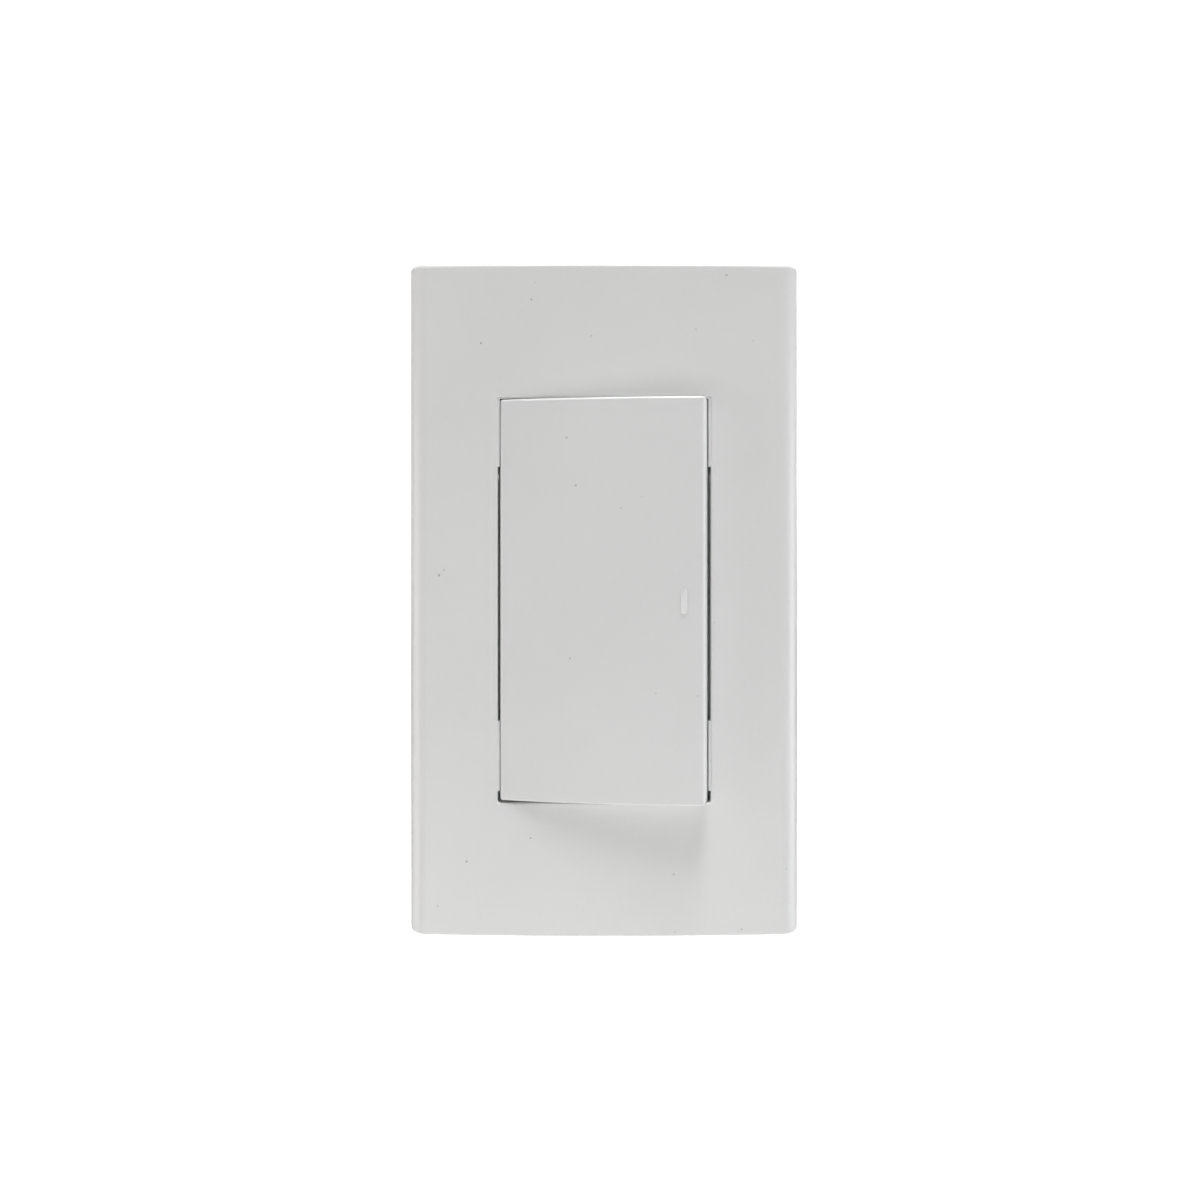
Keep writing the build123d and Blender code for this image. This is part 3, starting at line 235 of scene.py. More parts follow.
# Finishes of the mouldings. Clouds, grain and waves are sized in mm, and specks are (cell, radius, share).
plasticLooks = {
    "plateWhite": {"color": (0.735, 0.735, 0.73), "shade": (0.715, 0.712, 0.71), "cloud": 26,
                   "rough": (0.29, 0.37), "specks": (4.6, 0.3, 0.9), "dirtDepth": 0.5, "scratch": 0.71,
                   "grain": 0.35, "grainDepth": 0.0016, "wave": 9, "waveDepth": 0.02},
    "handleWhite": {"color": (0.725, 0.727, 0.725), "shade": (0.71, 0.708, 0.708), "cloud": 22,
                    "rough": (0.285, 0.345), "specks": (4.4, 0.24, 0.9), "dirtDepth": 0.4,
                    "scratch": 0.72, "grain": 0.35, "grainDepth": 0.0014, "wave": 11, "waveDepth": 0.03},
    "lensWhite": {"color": (0.9, 0.905, 0.9), "shade": (0.87, 0.875, 0.87), "cloud": 1.5,
                  "rough": (0.28, 0.34), "grain": 0.2, "grainDepth": 0.001, "clear": 0.08},
    "frameWhite": {"color": (0.67, 0.67, 0.655), "shade": (0.63, 0.63, 0.615), "cloud": 14,
                   "rough": (0.5, 0.62), "specks": (6, 0.25, 0.25), "dirtDepth": 0.35, "grain": 0.16,
                   "grainDepth": 0.012},
    "caseWhite": {"color": (0.66, 0.655, 0.62), "shade": (0.61, 0.605, 0.57), "cloud": 9,
                  "rough": (0.36, 0.5), "specks": (5, 0.22, 0.3), "dirtDepth": 0.4, "grain": 0.22,
                  "grainDepth": 0.006},
    "naturalResin": {"color": (0.76, 0.74, 0.67), "shade": (0.7, 0.675, 0.6), "cloud": 5,
                     "rough": (0.3, 0.42), "grain": 0.2, "grainDepth": 0.004},
    "leverResin": {"color": (0.24, 0.36, 0.31), "shade": (0.19, 0.3, 0.26), "cloud": 3,
                   "rough": (0.34, 0.46), "grain": 0.18, "grainDepth": 0.005},
    "fibreRed": {"color": (0.3, 0.09, 0.06), "shade": (0.22, 0.06, 0.04), "cloud": 0.8,
                 "rough": (0.7, 0.85), "grain": 0.12, "grainDepth": 0.02},
    "clearGuide": {"color": (0.9, 0.93, 0.93), "shade": (0.86, 0.9, 0.9), "cloud": 4,
                   "rough": (0.05, 0.12), "grain": 0.5, "grainDepth": 0.002, "clear": 0.9, "ior": 1.58},
    "lampGreen": {"color": (0.16, 0.62, 0.2), "shade": (0.1, 0.5, 0.15), "cloud": 1.5,
                  "rough": (0.08, 0.16), "grain": 0.4, "grainDepth": 0.002, "clear": 0.6, "ior": 1.54},
    "boardGreen": {"color": (0.03, 0.14, 0.06), "shade": (0.05, 0.2, 0.09), "cloud": 1.1,
                   "rough": (0.3, 0.45), "grain": 0.3, "grainDepth": 0.01},
    "resistorBlue": {"color": (0.16, 0.33, 0.45), "shade": (0.13, 0.28, 0.4), "cloud": 1,
                     "rough": (0.3, 0.42), "grain": 0.15, "grainDepth": 0.006},
    "diodeGlass": {"color": (0.45, 0.1, 0.03), "shade": (0.36, 0.07, 0.02), "cloud": 1,
                   "rough": (0.05, 0.12), "grain": 0.3, "grainDepth": 0.002, "clear": 0.3},
}

# Finishes of the metal pieces. brush is how much the streaks are squeezed along X, Y and Z.
metalLooks = {
    "zincSteel": {"color": (0.62, 0.62, 0.6), "tarnish": (0.52, 0.53, 0.53), "shade": (0.46, 0.47, 0.46),
                  "brush": (1.8, 2.2, 0.07), "stain": 5, "rough": (0.29, 0.44), "brushDepth": 0.004},
    "springSteel": {"color": (0.5, 0.5, 0.51), "tarnish": (0.43, 0.42, 0.41), "shade": (0.33, 0.33, 0.33),
                    "brush": (3, 3, 3), "stain": 1.2, "rough": (0.28, 0.38), "brushDepth": 0.002},
    "rivetNickel": {"color": (0.63, 0.6, 0.53), "tarnish": (0.54, 0.5, 0.43), "shade": (0.42, 0.4, 0.35),
                    "brush": (4, 0.6, 4), "stain": 0.9, "rough": (0.28, 0.4), "brushDepth": 0.003},
    "contactBrass": {"color": (0.72, 0.52, 0.22), "tarnish": (0.5, 0.31, 0.12), "shade": (0.42, 0.28, 0.12),
                     "brush": (0.12, 3, 3), "stain": 2.5, "rough": (0.28, 0.42), "brushDepth": 0.004},
    "contactSilver": {"color": (0.8, 0.78, 0.74), "tarnish": (0.6, 0.56, 0.5), "shade": (0.5, 0.48, 0.44),
                      "brush": (5, 5, 5), "stain": 0.8, "rough": (0.28, 0.42), "brushDepth": 0.003},
}

# Painted bands: where each is along the part, its half width and its colour.
bandLooks = {
    "resistorBlue": {"node": "lamp_resistor", "bands": (
        (-0.72, 0.09, (0.3, 0.13, 0.04)),
        (-0.34, 0.09, (0.42, 0.2, 0.5)),
        (0.0, 0.09, (0.75, 0.6, 0.05)),
        (0.34, 0.09, (0.6, 0.4, 0.1)),
        (0.74, 0.09, (0.35, 0.14, 0.05)),
    )},
    "diodeGlass": {"node": "lamp_diode", "bands": ((0.6, 0.16, (0.015, 0.015, 0.015)),)},
}


def addBands(material, look):
    # Places and widths are shares of the part's half length.
    low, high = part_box(look["node"])
    tree = material.node_tree
    shader = tree.nodes["Principled BSDF"]
    place = addNode(tree, "ShaderNodeTexCoord").outputs["Object"]
    share = 2 / (high.x - low.x)
    centred = addNode(tree, "ShaderNodeMapping", Vector=place, Scale=(share, share, share),
                      Location=(-share * (low.x + high.x) / 2, 0, 0)).outputs["Vector"]
    along = addNode(tree, "ShaderNodeSeparateXYZ", Vector=centred).outputs["X"]
    color = shader.inputs["Base Color"].links[0].from_socket
    for at, half, paintColor in look["bands"]:
        off = sums(tree, "ABSOLUTE", sums(tree, "SUBTRACT", along, at))
        color = blendColors(tree, sums(tree, "LESS_THAN", off, half), color, paintColor)
    tree.links.new(color, shader.inputs["Base Color"])


finishes = {name: plastic(name, look) for name, look in plasticLooks.items()}
for name, look in bandLooks.items():
    addBands(finishes[name], look)
finishes.update({name: metal(name, look) for name, look in metalLooks.items()})
print("materials made:", len(finishes))


def paint(piece, finish):
    piece.data.materials.clear()
    piece.data.materials.append(finishes[finish])


def finishOf(slot):
    words = slot.split("_")
    return words[0] + "".join(word.capitalize() for word in words[1:])


# A slot such as zinc_steel takes the finish zincSteel.
slotOf = {row["node"]: row["material_slot"] for row in frame["record"]["subparts"]}
for name, cadNode in nodes.items():
    paint(cadNode, finishOf(slotOf[name]))


# Mesh helpers. A bmesh is laid out in millimetres and shrunk to metres when it is finished.
weld = 0.0004        # points nearer than this become one
copyWeld = 0.001     # and in the copy of a node


def sizeOf(node):
    low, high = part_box(node)
    return Vector(low) / mm, Vector(high) / mm


def copyNode(node):
    bm = bmesh.new()
    bm.from_mesh(nodes[node].data)
    bmesh.ops.scale(bm, vec=(1 / mm, 1 / mm, 1 / mm), verts=bm.verts)
    bmesh.ops.remove_doubles(bm, verts=bm.verts, dist=copyWeld)
    return bm


def finishPiece(name, bm, slot, body="switch_base", replaced=(), sharp=38):
    # Shading breaks where faces meet at more than the sharp angle, in degrees.
    bmesh.ops.remove_doubles(bm, verts=bm.verts, dist=weld)
    bmesh.ops.recalc_face_normals(bm, faces=bm.faces)
    bmesh.ops.scale(bm, vec=(mm, mm, mm), verts=bm.verts)
    mesh = bpy.data.meshes.new(name)
    bm.to_mesh(mesh)
    bm.free()
    mesh.shade_smooth()
    mesh.set_sharp_from_angle(angle=math.radians(sharp))
    piece = bpy.data.objects.new(name, mesh)
    bpy.context.scene.collection.objects.link(piece)
    paint(piece, finishOf(slot))
    if body:
        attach(piece, body)
    if replaced:
        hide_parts(*replaced)
    return piece


def lathe(bm, profile, centre, axis="Y", steps=32):
    # The profile is (radius, place along the axis), and it is spun round that axis.
    verts = [bm.verts.new((r, along, 0) if axis == "Y" else (along, r, 0)) for r, along in profile]
    edges = [bm.edges.new(pair) for pair in zip(verts, verts[1:])]
    direction = (0, 1, 0) if axis == "Y" else (1, 0, 0)
    before = set(bm.verts) - set(verts)
    bmesh.ops.spin(bm, geom=verts + edges, cent=(0, 0, 0), axis=direction, angle=math.tau, steps=steps,
                   use_merge=True)
    made = [v for v in bm.verts if v not in before]
    bmesh.ops.remove_doubles(bm, verts=made, dist=weld)
    made = [v for v in bm.verts if v not in before]
    bmesh.ops.translate(bm, verts=made, vec=centre)


def roundedBlock(bm, low, high, edge):
    made = bmesh.ops.create_cube(bm, size=1)["verts"]
    low, high = Vector(low), Vector(high)
    bmesh.ops.scale(bm, vec=high - low, verts=made)
    bmesh.ops.translate(bm, verts=made, vec=(low + high) / 2)
    edges = list({e for v in made for e in v.link_edges})
    bmesh.ops.bevel(bm, geom=edges, offset=edge, affect="EDGES", segments=2, profile=0.5, material=-1)


def wireRing(bm, centre, radius, sides=8, turn=None):
    # The round end of a wire, as the face, edges and points that the next step draws on.
    made = bmesh.ops.create_circle(bm, cap_ends=True, segments=sides, radius=radius)["verts"]
    if turn:
        bmesh.ops.rotate(bm, cent=(0, 0, 0), verts=made, matrix=turn)
    bmesh.ops.translate(bm, verts=made, vec=centre)
    face = made[0].link_faces[0]
    return [face, *face.edges, *face.verts]


def onward(bm, ring, vec):
    # Draws the end of a wire straight on.
    faces = [g for g in ring if isinstance(g, bmesh.types.BMFace)]
    made = bmesh.ops.extrude_face_region(bm, geom=faces)["geom"]
    verts = [g for g in made if isinstance(g, bmesh.types.BMVert)]
    bmesh.ops.translate(bm, verts=verts, vec=vec)
    bmesh.ops.delete(bm, geom=faces, context="FACES_ONLY")
    return made


def around(bm, ring, centre, axis, degrees, steps, rise=(0, 0, 0)):
    # Bends the end of a wire round a centre, rising as it goes.
    out = bmesh.ops.spin(bm, geom=ring, cent=centre, axis=axis, angle=math.radians(degrees), steps=steps,
                         dvec=Vector(rise) / steps)
    return out["geom_last"]


def coil(bm, ring, centre, turns, rise, steps=24):
    return around(bm, ring, centre, (0, 1, 0), 360 * turns, round(steps * turns), (0, rise, 0))


# The screws: their heads stay, their shanks thin to a core, and a ridge wound round it is the thread.
screwSetup = {
    "boxScrews": {"node": "box_screws", "shank": 2.0, "core": 1.62, "pitch": 0.7,
                  "thinFrom": 0.62, "threadFrom": 0.72, "runOut": 0.9},
    "plateScrews": {"node": "plate_screws", "shank": 1.7, "core": 1.38, "pitch": 0.6,
                    "thinFrom": -2.25, "threadFrom": -1.8, "runOut": 0.7},
}
ridgeSetup = {"sunk": 0.06, "crest": (0.42, 0.58), "steps": 20}    # in mm, in shares of the pitch, per turn


def thinShank(bm, centre, look):
    # Only the wall of the shank moves in, not the points near its axis or those of the head.
    shank = []
    for v in bm.verts:
        fromAxis = math.hypot(v.co.x, v.co.z - centre.z)
        if v.co.y > look["thinFrom"] and 0.6 * look["shank"] < fromAxis < look["shank"] + 0.02:
            shank.append(v)
    thin = look["core"] / look["shank"]
    bmesh.ops.scale(bm, vec=(thin, 1, thin), verts=shank, space=Matrix.Translation(-centre))


def addThread(bm, centre, look, stop):
    start, pitch = look["threadFrom"], look["pitch"]
    turns = (stop - start) / pitch - 1
    root = look["core"] - ridgeSetup["sunk"]
    rise, fall = ridgeSetup["crest"]
    section = ((root, 0.0), (look["shank"], rise), (look["shank"], fall), (root, 1.0))
    verts = [bm.verts.new(centre + Vector((r, start + share * pitch, 0))) for r, share in section]
    face = bm.faces.new(verts)
    coil(bm, [face, *face.edges, *face.verts], centre, turns, turns * pitch, ridgeSetup["steps"])


def makeScrews(name, look):
    low, high = sizeOf(look["node"])
    headRadius = (high.x - low.x) / 2
    centres = [Vector((0, 0, end * (high.z - headRadius))) for end in (-1, 1)]
    bm = copyNode(look["node"])
    for centre in centres:
        thinShank(bm, centre, look)
    for centre in centres:
        addThread(bm, centre, look, high.y - look["runOut"])
    finishPiece(name, bm, "zinc_steel", replaced=(look["node"],), sharp=30)


for name, look in screwSetup.items():
    makeScrews(name, look)
print("screws made")


# The coil springs: closed turns at each end, open ones between. keep is what a press leaves of the length.
springSetup = {
    "returnSprings": {"wire": 0.22, "closed": 1.0, "open": 4.0, "keep": 0.735},
    "driveSpring": {"wire": 0.25, "coils": 3.0, "foot": 0.9, "hook": 0.35, "tip": 0.1, "tipShare": 0.6,
                    "keep": 0.84},
    "toggleSpring": {"wire": 0.22, "coil": 1.35, "closed": 1.0, "open": 3.0,
                     "camSeat": (5.56, 11.97, 0), "bladeSeat": (6.10, 19.30, 0), "inset": 0.42},
}
closedPitch = 2.1    # of a closed turn, in wire radii


def closedCoil(bm, centre, radius, look, length):
    wire = look["wire"]
    ring = wireRing(bm, centre + Vector((radius, 0, 0)), wire)
    flat = closedPitch * wire * look["closed"]
    ring = coil(bm, ring, centre, look["closed"], flat)
    ring = coil(bm, ring, centre, look["open"], length - 2 * flat)
    coil(bm, ring, centre, look["closed"], flat)


def squashByPress(piece):
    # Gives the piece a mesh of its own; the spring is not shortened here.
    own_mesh(piece)


def makeReturnSprings(look):
    low, high = sizeOf("return_springs")
    wire = look["wire"]
    radius = (high.x - low.x) / 2 - wire
    bm = bmesh.new()
    for end in (-1, 1):
        centre = Vector(((low.x + high.x) / 2, low.y + wire, end * (high.z - radius - wire)))
        closedCoil(bm, centre, radius, look, high.y - low.y - 2 * wire)
    piece = finishPiece("returnSprings", bm, "spring_steel", replaced=("return_springs",))
    squashByPress(piece)


def makeDriveSpring(look):
    # The coil ends in a half turn to its own middle, and from there a pin runs straight back to the cam.
    low, high = sizeOf("drive_spring")
    wire, foot, hook, tip = look["wire"], look["foot"], look["hook"], look["tip"]
    radius = (high.x - low.x) / 2 - wire
    centre = Vector(((low.x + high.x) / 2, low.y + wire, 0))
    bm = bmesh.new()
    ring = wireRing(bm, centre + Vector((radius, 0, 0)), wire)
    ring = coil(bm, ring, centre, look["coils"], foot - centre.y)
    ring = around(bm, ring, Vector((centre.x + radius / 2, foot, 0)), (0, 1, 0), 180, 12)
    ring = around(bm, ring, Vector((centre.x, foot + hook, 0)), (1, 0, 0), -90, 6)
    ring = onward(bm, ring, (0, high.y - foot - hook - tip, 0))
    ring = onward(bm, ring, (0, tip, 0))
    end = [g for g in ring if isinstance(g, bmesh.types.BMVert)]
    share = look["tipShare"]
    bmesh.ops.scale(bm, vec=(share, 1, share), verts=end, space=Matrix.Translation((-centre.x, 0, -hook)))
    piece = finishPiece("driveSpring", bm, "spring_steel", replaced=("drive_spring",))
    squashByPress(piece)


def makeToggleSpring(look):
    start, end = Vector(look["camSeat"]), Vector(look["bladeSeat"])
    along = (end - start).normalized()
    inset = look["wire"] + look["inset"]
    bm = bmesh.new()
    closedCoil(bm, Vector((0, 0, 0)), look["coil"], look, (end - start).length - 2 * inset)
    lean = Vector((0, 1, 0)).rotation_difference(along).to_matrix()
    bmesh.ops.rotate(bm, cent=(0, 0, 0), verts=bm.verts, matrix=lean)
    bmesh.ops.translate(bm, verts=bm.verts, vec=start + along * inset)
    piece = finishPiece("toggleSpring", bm, "spring_steel", body=None, replaced=("toggle_spring",))
    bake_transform(piece)


makeReturnSprings(springSetup["returnSprings"])
makeDriveSpring(springSetup["driveSpring"])
makeToggleSpring(springSetup["toggleSpring"])


# The lock springs: two bent leaves in each terminal. The route is (out from the leg, place along Y).
lockSetup = {
    "leaf": 0.35,
    "half": 1.9,
    "at": 7.0,
    "leg": 11.0,
    "route": ((0.0, 11.2), (0.0, 21.0), (1.1, 22.3), (2.2, 21.3), (5.2, 13.0)),
    "bend": 0.55,
    "edge": 0.05,
    "rimAngle": 1.2,    # radians, past which an edge of the leaf is broken
    "keep": 0.85,
}


def makeLockSprings(name, node, side, look):
    leg, half = look["leg"], look["half"]
    bm = bmesh.new()
    for x in (-look["at"], look["at"]):
        corners = [bm.verts.new((x - half, y, side * (leg + out))) for out, y in look["route"]]
        line = [bm.edges.new(pair) for pair in zip(corners, corners[1:])]
        made = bmesh.ops.extrude_edge_only(bm, edges=line)["geom"]
        across = [g for g in made if isinstance(g, bmesh.types.BMVert)]
        bmesh.ops.translate(bm, verts=across, vec=(2 * half, 0, 0))
    bends = [e for e in bm.edges if len(e.link_faces) == 2]
    bmesh.ops.bevel(bm, geom=bends, offset=look["bend"], affect="EDGES", segments=6, profile=0.5,
                    material=-1)
    bmesh.ops.recalc_face_normals(bm, faces=bm.faces)
    bmesh.ops.solidify(bm, geom=bm.faces[:], thickness=look["leaf"])
    low, high = sizeOf(node)
    near = low.z if side > 0 else -high.z
    gap = near - min(v.co.z * side for v in bm.verts)
    bmesh.ops.translate(bm, verts=bm.verts, vec=(0, 0, side * gap))
    rims = [e for e in bm.edges if e.is_manifold and e.calc_face_angle(0) > look["rimAngle"]]
    bmesh.ops.bevel(bm, geom=rims, offset=look["edge"], affect="EDGES", segments=1, profile=0.5,
                    material=-1)
    piece = finishPiece(name, bm, "spring_steel", replaced=(node,))
    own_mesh(piece)


makeLockSprings("commonLockSprings", "common_lock_springs", -1, lockSetup)
makeLockSprings("switchedLockSprings", "switched_lock_springs", 1, lockSetup)
print("springs made")


# The pilot lamp: a clear green bulb over its lead frame, a resistor and a diode on bent wires.
lampSetup = {
    "flange": 0.9,
    "flangeOut": 0.35,
    "shoulder": 0.12,
    "flangeEdge": 0.08,
    "flat": 0.22,          # cut off the flange's side
    "anvil": (-0.75, -0.01, 0.9),    # left, right and height of each half of the lead frame
    "post": (0.22, 0.7, 0.5),
    "frameHalf": 0.2,
    "frameEdge": 0.05,
    "cupAt": -0.35,
    "cup": ((0, 1.0), (0.22, 1.0), (0.34, 1.25), (0.4, 1.25), (0.4, 0.8), (0, 0.8)),    # radius, height
    "legs": 0.45,
    "wire": 0.2,
    "wireIn": 0.1,         # how far a wire starts inside its part
    "wireOut": 0.2,        # and how far it runs before it bends
    "wireBend": 0.45,
    "wirePast": 0.55,      # beyond the board
    "solder": 0.5,
    "solderCone": ((0, 0.62), (0.22, 0.6), (0.4, 0.4), (0.62, 0.18), (1.0, 0.0), (0, 0)),
}

# The two small parts, as (share of the radius, share of the half length) from one end to the other.
beadSetup = {
    "lampResistor": {"node": "lamp_resistor", "shape": (
        (0, -1), (0.62, -1), (0.9, -0.94), (1, -0.84), (1, -0.62), (0.86, -0.5), (0.84, 0),
        (0.86, 0.5), (1, 0.62), (1, 0.84), (0.9, 0.94), (0.62, 1), (0, 1))},
    "lampDiode": {"node": "lamp_diode", "shape": (
        (0, -1), (0.55, -1), (0.85, -0.95), (1, -0.82), (1, 0.82), (0.85, 0.95), (0.55, 1), (0, 1))},
}


def makeLampBulb(look):
    low, high = sizeOf("indicator_lamp")
    centre = (low + high) / 2
    outer = (high.x - low.x) / 2
    radius = outer - look["flangeOut"]
    dome = low.y + radius
    shelf = high.y - look["flange"]
    shoulder, edge = look["shoulder"], look["flangeEdge"]
    arc = [math.radians(90 * step / 8) for step in range(9)]
    profile = [(radius * math.sin(a), dome - radius * math.cos(a)) for a in arc]
    profile += [(radius, shelf - shoulder), (radius + shoulder, shelf)]
    profile += [(outer - edge, shelf), (outer, shelf + edge), (outer, high.y), (0, high.y)]
    bm = bmesh.new()
    lathe(bm, profile, (centre.x, 0, centre.z))
    cut = bmesh.ops.bisect_plane(bm, geom=bm.verts[:] + bm.edges[:] + bm.faces[:], clear_outer=True,
                                 plane_co=(centre.x + outer - look["flat"], 0, 0), plane_no=(1, 0, 0))
    rim = [g for g in cut["geom_cut"] if isinstance(g, bmesh.types.BMEdge)]
    bmesh.ops.holes_fill(bm, edges=rim, sides=0)
    finishPiece("lampBulb", bm, "lamp_green", replaced=("indicator_lamp",), sharp=30)
    makeLeadFrame(centre, shelf, high.y, look)


def makeLeadFrame(centre, shelf, back, look):
    bm = bmesh.new()
    half, edge = look["frameHalf"], look["frameEdge"]
    for left, right, height in (look["anvil"], look["post"]):
        low, high = (centre.x + left, shelf - height, -half), (centre.x + right, back - edge, half)
        roundedBlock(bm, low, high, edge)
    cup = [(r, shelf - height) for r, height in look["cup"]]
    lathe(bm, cup, (centre.x + look["cupAt"], 0, centre.z), steps=20)
    finishPiece("lampLeadFrame", bm, "contact_silver")


def makeBead(name, look):
    low, high = sizeOf(look["node"])
    centre = (low + high) / 2
    half, radius = (high.x - low.x) / 2, (high.y - low.y) / 2
    bm = bmesh.new()
    lathe(bm, [(r * radius, share * half) for r, share in look["shape"]], centre, "X", 28)
    finishPiece(name, bm, slotOf[look["node"]], replaced=(look["node"],), sharp=30)
    return centre, half


def addPartWires(bm, centre, half, boardBack, look):
    # A wire from each end of a small part, bent down into the board.
    turn = Matrix.Rotation(math.radians(90), 3, "Y")
    for side in (-1, 1):
        start = Vector((centre.x + side * (half - look["wireIn"]), centre.y, centre.z))
        ring = wireRing(bm, start, look["wire"], 10, turn)
        ring = onward(bm, ring, (side * look["wireOut"], 0, 0))
        bend = Vector((start.x + side * look["wireOut"], centre.y + look["wireBend"], centre.z))
        ring = around(bm, ring, bend, (0, 0, 1), side * 90, 6)
        onward(bm, ring, (0, boardBack + look["wirePast"] - bend.y, 0))


def makeLampWires(beads, look):
    boardBack = sizeOf("lamp_board")[1].y
    bm = bmesh.new()
    for centre, half in beads:
        addPartWires(bm, centre, half, boardBack, look)
    finishPiece("lampPartWires", bm, "contact_silver")

    reach = look["wireOut"] + look["wireBend"] - look["wireIn"]
    lampLow, lampHigh = sizeOf("indicator_lamp")
    lampX = (lampLow.x + lampHigh.x) / 2
    spots = [(c.x + side * (half + reach), c.z) for c, half in beads for side in (-1, 1)]
    spots += [(lampX + side * look["legs"], 0) for side in (-1, 1)]
    size = look["solder"]
    cone = [(r * size, boardBack + rise * size) for r, rise in look["solderCone"]]
    bm = bmesh.new()
    for x, z in spots:
        lathe(bm, cone, (x, 0, z), steps=20)
    finishPiece("lampSolder", bm, "contact_silver")


makeLampBulb(lampSetup)
makeLampWires([makeBead(name, look) for name, look in beadSetup.items()], lampSetup)
print("pilot lamp made")


# The lens: a small pill with a raised rim round a shallow dish, and a collar behind the handle's face.
lensSetup = {
    "collar": 0.5,             # how far it stands out all round
    "collarPlace": 2.2,        # behind the lens's face
    "collarThickness": 0.75,
    "rim": 0.16,
    "slope": 0.05,
    "dish": 0.13,
    "round": 0.07,
}


def pill(bm, centre, width, length, front, back):
    # A disc split at its middle, its halves drawn apart, and then given its depth. It returns the front.
    made = bmesh.ops.create_circle(bm, cap_ends=True, segments=40, radius=width / 2)["verts"]
    bmesh.ops.rotate(bm, cent=(0, 0, 0), verts=made, matrix=Matrix.Rotation(math.radians(90), 3, "X"))
    upper = [v for v in made if v.co.z > 0]
    lower = [v for v in made if v not in upper]
    for half, side in ((upper, 1), (lower, -1)):
        bmesh.ops.translate(bm, verts=half, vec=(0, 0, side * (length - width) / 2))
    bmesh.ops.translate(bm, verts=made, vec=(centre.x, front, centre.z))
    face = made[0].link_faces[0]
    out = bmesh.ops.extrude_face_region(bm, geom=[face])["geom"]
    behind = [g for g in out if isinstance(g, bmesh.types.BMVert)]
    bmesh.ops.translate(bm, verts=behind, vec=(0, back - front, 0))
    bmesh.ops.recalc_face_normals(bm, faces=bm.faces)
    return face


def makeLens(look):
    low, high = sizeOf("indicator_lens")
    centre = (low + high) / 2
    wide, tall = high.x - low.x, high.z - low.z
    shelf = low.y + look["collarPlace"]
    bm = bmesh.new()
    pill(bm, centre, wide, tall, shelf, shelf + look["collarThickness"])
    front = pill(bm, centre, wide - 2 * look["collar"], tall - 2 * look["collar"], low.y, high.y)
    rim = list(front.edges)
    bmesh.ops.inset_region(bm, faces=[front], thickness=look["rim"], depth=0)
    lip = list(front.edges)
    bmesh.ops.inset_region(bm, faces=[front], thickness=look["slope"], depth=0)
    bmesh.ops.translate(bm, verts=front.verts[:], vec=(0, look["dish"], 0))
    for edges, offset in ((rim, look["round"]), (lip, look["slope"] / 2)):
        bmesh.ops.bevel(bm, geom=[e for e in edges if e.is_valid], offset=offset, affect="EDGES", segments=4,
                        profile=0.5, material=-1)
    finishPiece("indicatorLens", bm, "lens_white", "handle", ("indicator_lens",), 50)


makeLens(lensSetup)
print("lens made")


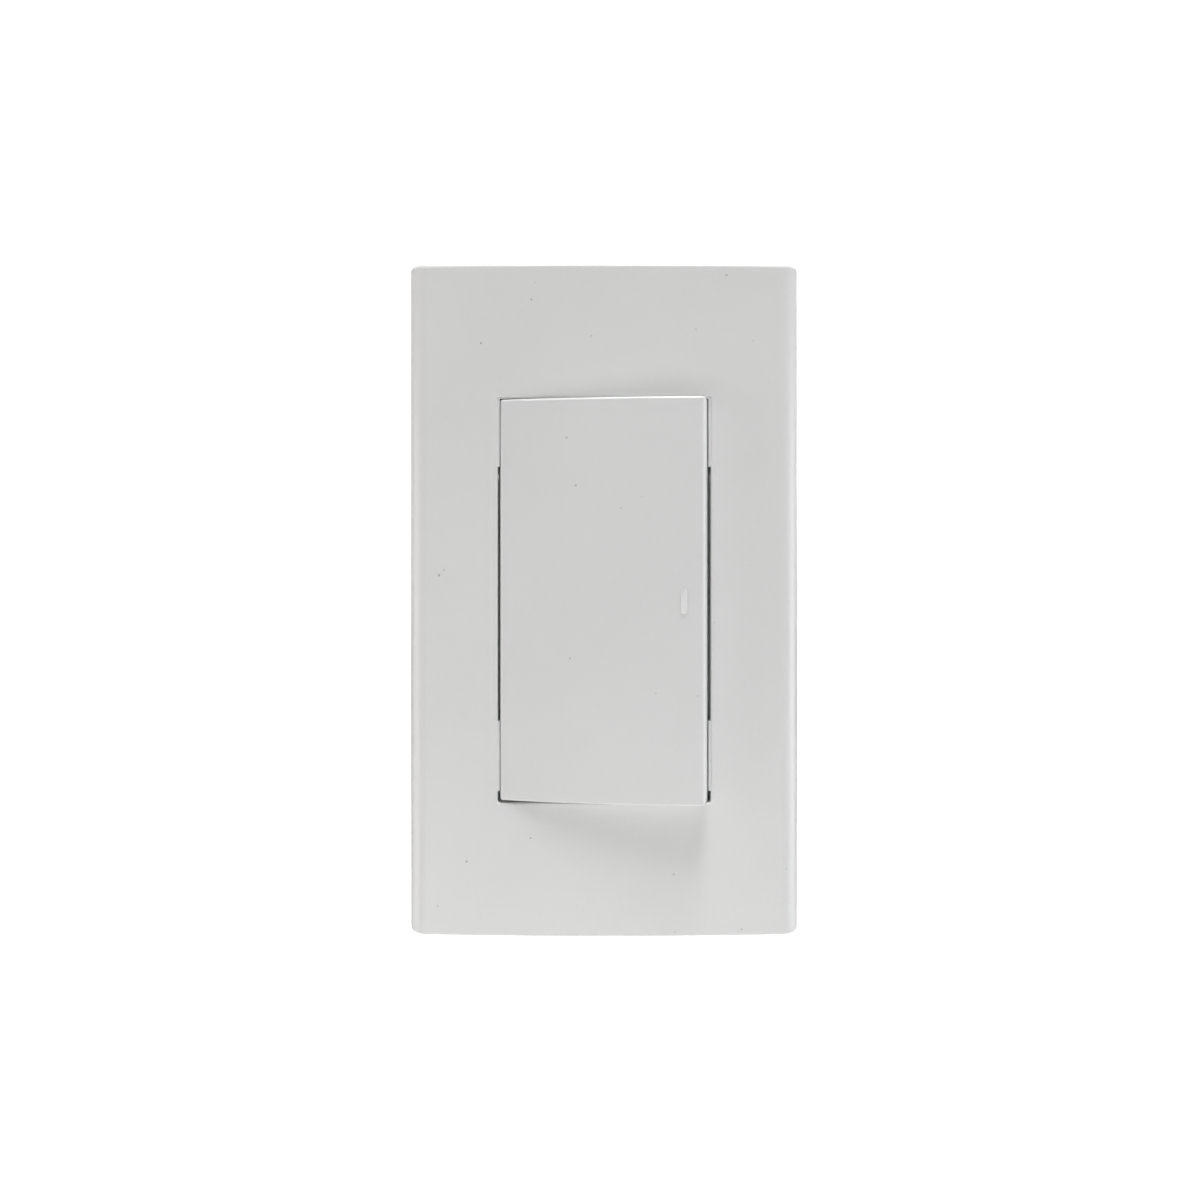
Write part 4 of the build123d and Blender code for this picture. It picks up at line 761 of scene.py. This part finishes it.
# The stage: a pale floor far below, white air all round and soft lamps on every side, in metres.
stageSetup = {
    "floorDrop": 0.30,
    "floorSide": 6.0,
    "floorTone": 0.86,
    "floorRough": 0.9,
    "airSeen": 1.05,      # the white behind the plate
    "airShine": 0.8,      # what glossy surfaces mirror
    "airGlow": 0.07,      # what lights everything softly
    "lamps": {
        "above": {"at": (0.05, -0.38, 1.35), "side": 0.35, "power": 10.0},
        "top": {"at": (0.03, -0.04, 0.6), "side": 0.2, "power": 2.6},
        "front": {"at": (0.0, -0.9, -0.12), "side": 0.8, "power": 0.7},
        "below": {"at": (-0.02, -0.24, -0.27), "side": 0.4, "power": 0.66},
        "right": {"at": (0.7, -0.1, -0.1), "side": 0.5, "power": 2.3, "color": (0.97, 0.99, 1.0)},
        "left": {"at": (-0.7, -0.1, -0.1), "side": 0.5, "power": 1.9, "color": (1.0, 0.975, 0.955)},
        "behind": {"at": (0.2, 0.8, 0.35), "side": 0.7, "power": 5.0},
    },
}


def addLamp(name, spot):
    data = bpy.data.lights.new(name, "AREA")
    data.shape = "SQUARE"
    data.size = spot["side"]
    data.energy = spot["power"]
    data.color = spot.get("color", (1, 1, 1))
    lamp = bpy.data.objects.new(name, data)
    lamp.location = spot["at"]
    lamp.rotation_euler = (-Vector(spot["at"])).to_track_quat("-Z", "Y").to_euler()
    bpy.context.scene.collection.objects.link(lamp)


def addStage(setup):
    bm = bmesh.new()
    bmesh.ops.create_grid(bm, x_segments=1, y_segments=1, size=setup["floorSide"] / 2)
    bmesh.ops.translate(bm, verts=bm.verts, vec=(0, 0, -setup["floorDrop"]))
    mesh = bpy.data.meshes.new("floor")
    bm.to_mesh(mesh)
    floor = bpy.data.objects.new("floor", mesh)
    bpy.context.scene.collection.objects.link(floor)
    material, tree, shader = startMaterial("paleFloor")
    tone = setup["floorTone"]
    shader.inputs["Base Color"].default_value = (tone, tone, tone, 1)
    shader.inputs["Roughness"].default_value = setup["floorRough"]
    shader.inputs["Emission Color"].default_value = (1, 1, 1, 1)
    seen = addNode(tree, "ShaderNodeLightPath").outputs["Is Camera Ray"]
    tree.links.new(seen, shader.inputs["Emission Strength"])
    mesh.materials.append(material)
    world = bpy.data.worlds.new("air")
    world.use_nodes = True
    tree = world.node_tree
    path = addNode(tree, "ShaderNodeLightPath").outputs
    light = spread(tree, path["Is Glossy Ray"], 0, 1, setup["airGlow"], setup["airShine"])
    seen = sums(tree, "MULTIPLY", path["Is Camera Ray"], setup["airSeen"])
    strength = sums(tree, "MAXIMUM", light, seen)
    tree.nodes["Background"].inputs["Color"].default_value = (1, 1, 1, 1)
    tree.links.new(strength, tree.nodes["Background"].inputs["Strength"])
    bpy.context.scene.world = world
    bpy.context.scene.view_settings.view_transform = "Standard"
    for name, spot in setup["lamps"].items():
        addLamp(name, spot)


addStage(stageSetup)
print("stage set")
